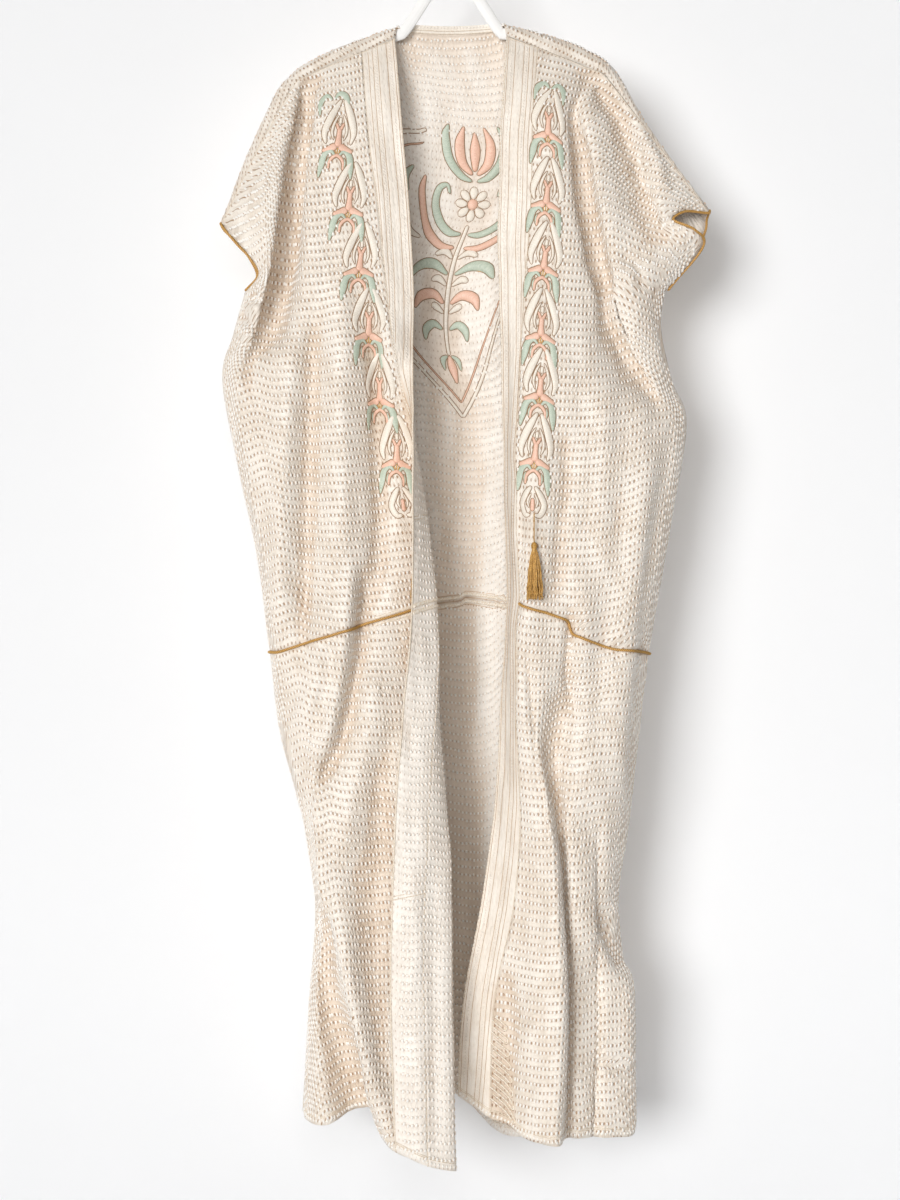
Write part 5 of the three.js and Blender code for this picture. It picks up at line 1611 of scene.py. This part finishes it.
def back_ornament(work):
    """A plain symmetrical ornament of our own: a tulip over a rosette, scrolls and leaf pairs down
    one stem, in a pointed frame."""
    work.stroke("cream", ((58, 128), (104, 160), (118, 236), (66, 380), (0, 480)), (2.2, 2.4, 2.4, 2.4, 2.4))
    work.stroke("peach", ((64, 146), (96, 170), (107, 238), (58, 370), (0, 462)), (0.9, 1.1, 1.1, 1.1, 1.1))
    work.stroke("mint", ((3, 184), (18, 178), (33, 160), (36, 134), (30, 118)), (2, 5, 6, 5, 1.4), high=2.2)
    work.stroke("peach", ((3, 176), (16, 162), (19, 140), (12, 118)), (2.4, 6, 6, 1.4), high=2.2)
    work.stroke("peach", ((0, 124), (0, 146), (0, 172)), (1.4, 6.5, 3), mirror=False, high=2.4)
    work.stroke("gold", ((0, 150), (0, 172)), (0.9, 1.2), mirror=False, high=3.4, bound=False)
    rosette = 212
    for k in range(8):
        a, d = math.sin(math.pi * k / 4), -math.cos(math.pi * k / 4)
        work.stroke("cream", [(r * a, rosette + r * d) for r in (6, 14, 22)], (2, 5.4, 3.6), mirror=False, high=2)
    work.stroke("peach", ((0, rosette - 7), (0, rosette + 7)), (6.5, 6.5), mirror=False, high=3)
    for k in range(6):
        a, d = 3.4 * math.sin(math.pi * k / 3), rosette + 3.4 * math.cos(math.pi * k / 3)
        work.stroke("gold", ((a - 0.8, d), (a + 0.8, d)), (0.9, 0.9), mirror=False, high=4, bound=False)
    work.stroke("mint", ((4, 250), (20, 250), (37, 240), (47, 220), (44, 200), (34, 194), (30, 204)),
                (2, 5, 5.6, 5.2, 4.4, 3, 2), high=2.2)
    work.stroke("peach", ((6, 268), (26, 268), (46, 256), (60, 236), (66, 208), (62, 186)),
                (2, 5, 5.4, 5, 4.4, 1.4), high=2.2)
    work.stroke("cream", ((0, 238), (0, 320), (0, 402)), (2.6, 3, 2.2), mirror=False, high=1.8)
    for k in range(3):
        work.stroke("cream", ((3, 282 + 34 * k), (15, 274 + 34 * k), (27 - 4 * k, 280 + 32 * k)),
                    (1.6, 4.6, 2.4), high=2)
    work.stroke("mint", ((4, 302), (24, 292), (42, 298), (54, 318)), (2, 6.4, 6, 1.4), high=2.2)
    work.stroke("gold", ((10, 300), (26, 297), (40, 303)), (0.7, 0.9, 0.7), high=3.2, bound=False)
    work.stroke("peach", ((4, 338), (18, 328), (33, 334), (40, 350)), (2, 6, 6, 1.6), high=2.2)
    work.stroke("mint", ((4, 370), (15, 364), (24, 372), (26, 386)), (1.8, 5, 5, 1.6), high=2.2)
    work.stroke("mint", ((2, 402), (9, 408), (10, 422)), (1.6, 3.6, 1), high=2)
    work.stroke("peach", ((0, 402), (0, 418), (0, 438)), (2, 5.5, 1.4), mirror=False, high=2.4)
    work.stroke("cream", ((56, 262), (76, 262), (88, 240), (86, 214)), (1.8, 5, 5, 1.6), high=2)
    work.stroke("mint", ((60, 284), (74, 276), (84, 262)), (1.6, 4.6, 1.6), high=2)
    work.stroke("mint", ((78, 182), (88, 200), (84, 218)), (1.6, 4.6, 1.6), high=2)


for face, word in ((-1, "inside"), (1, "outside")):
    work = Embroidery(back_cloth, face)
    back_ornament(work)
    work.sew(f"embroidery_{word}", SILKS)


# ---- hanger, room ----------------------------------------------------------------------
for node in ("hanger_arms", "hanger_hook"):
    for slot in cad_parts[node].material_slots:
        slot.material = PLASTIC


def pale_stage(name, shade, through_back):
    """A pale matt finish. The wall's lets light and a view from behind through."""
    material, nodes, bsdf = new_material(name, Roughness=0.9, Specular_IOR_Level=0.1)
    fleck = nodes.fleck(3.0, 2.0)
    nodes.join(bsdf.inputs["Base Color"], nodes.mix(fleck, dye(*shade), dye(*(s - 2 for s in shade))))
    if through_back:
        clear = nodes.add("ShaderNodeBsdfTransparent")
        mixed = nodes.add("ShaderNodeMixShader")
        away = nodes.math("MAXIMUM", nodes.add("ShaderNodeNewGeometry").outputs["Backfacing"],
                          nodes.add("ShaderNodeLightPath").outputs["Is Shadow Ray"])
        nodes.join(mixed.inputs[0], away)
        nodes.join(mixed.inputs[1], bsdf.outputs[0])
        nodes.join(mixed.inputs[2], clear.outputs[0])
        nodes.join(material.node_tree.nodes["Material Output"].inputs["Surface"], mixed.outputs[0])
    return material


WALL_BACK = 134                       # how far the wall is behind the hanger
WALL_SIDE, WALL_TOP, FLOOR_LEVEL, FLOOR_SIDE = 3000, 2500, -1750, 4000
back_wall = new_piece("pale_wall", [(x, WALL_BACK, z) for x, z in (
    (-WALL_SIDE, FLOOR_LEVEL), (WALL_SIDE, FLOOR_LEVEL), (WALL_SIDE, WALL_TOP), (-WALL_SIDE, WALL_TOP))],
                      [(0, 1, 2, 3)], materials=(pale_stage("pale wall", (245, 247, 250), True),), smooth=False)
floor = new_piece("pale_floor", [(x * FLOOR_SIDE, y * FLOOR_SIDE, FLOOR_LEVEL) for x, y in (
    (-1, -1), (1, -1), (1, 1), (-1, 1))],
                  [(0, 1, 2, 3)], materials=(pale_stage("pale floor", (238, 238, 238), False),), smooth=False)
world = bpy.data.worlds.new("pale room")
world.use_nodes = True
background = world.node_tree.nodes["Background"]
background.inputs["Color"].default_value = (1, 0.97, 0.94, 1)
background.inputs["Strength"].default_value = 0.12
bpy.context.scene.world = world
for shape in (PIP, STITCH):
    bpy.data.objects.remove(shape)
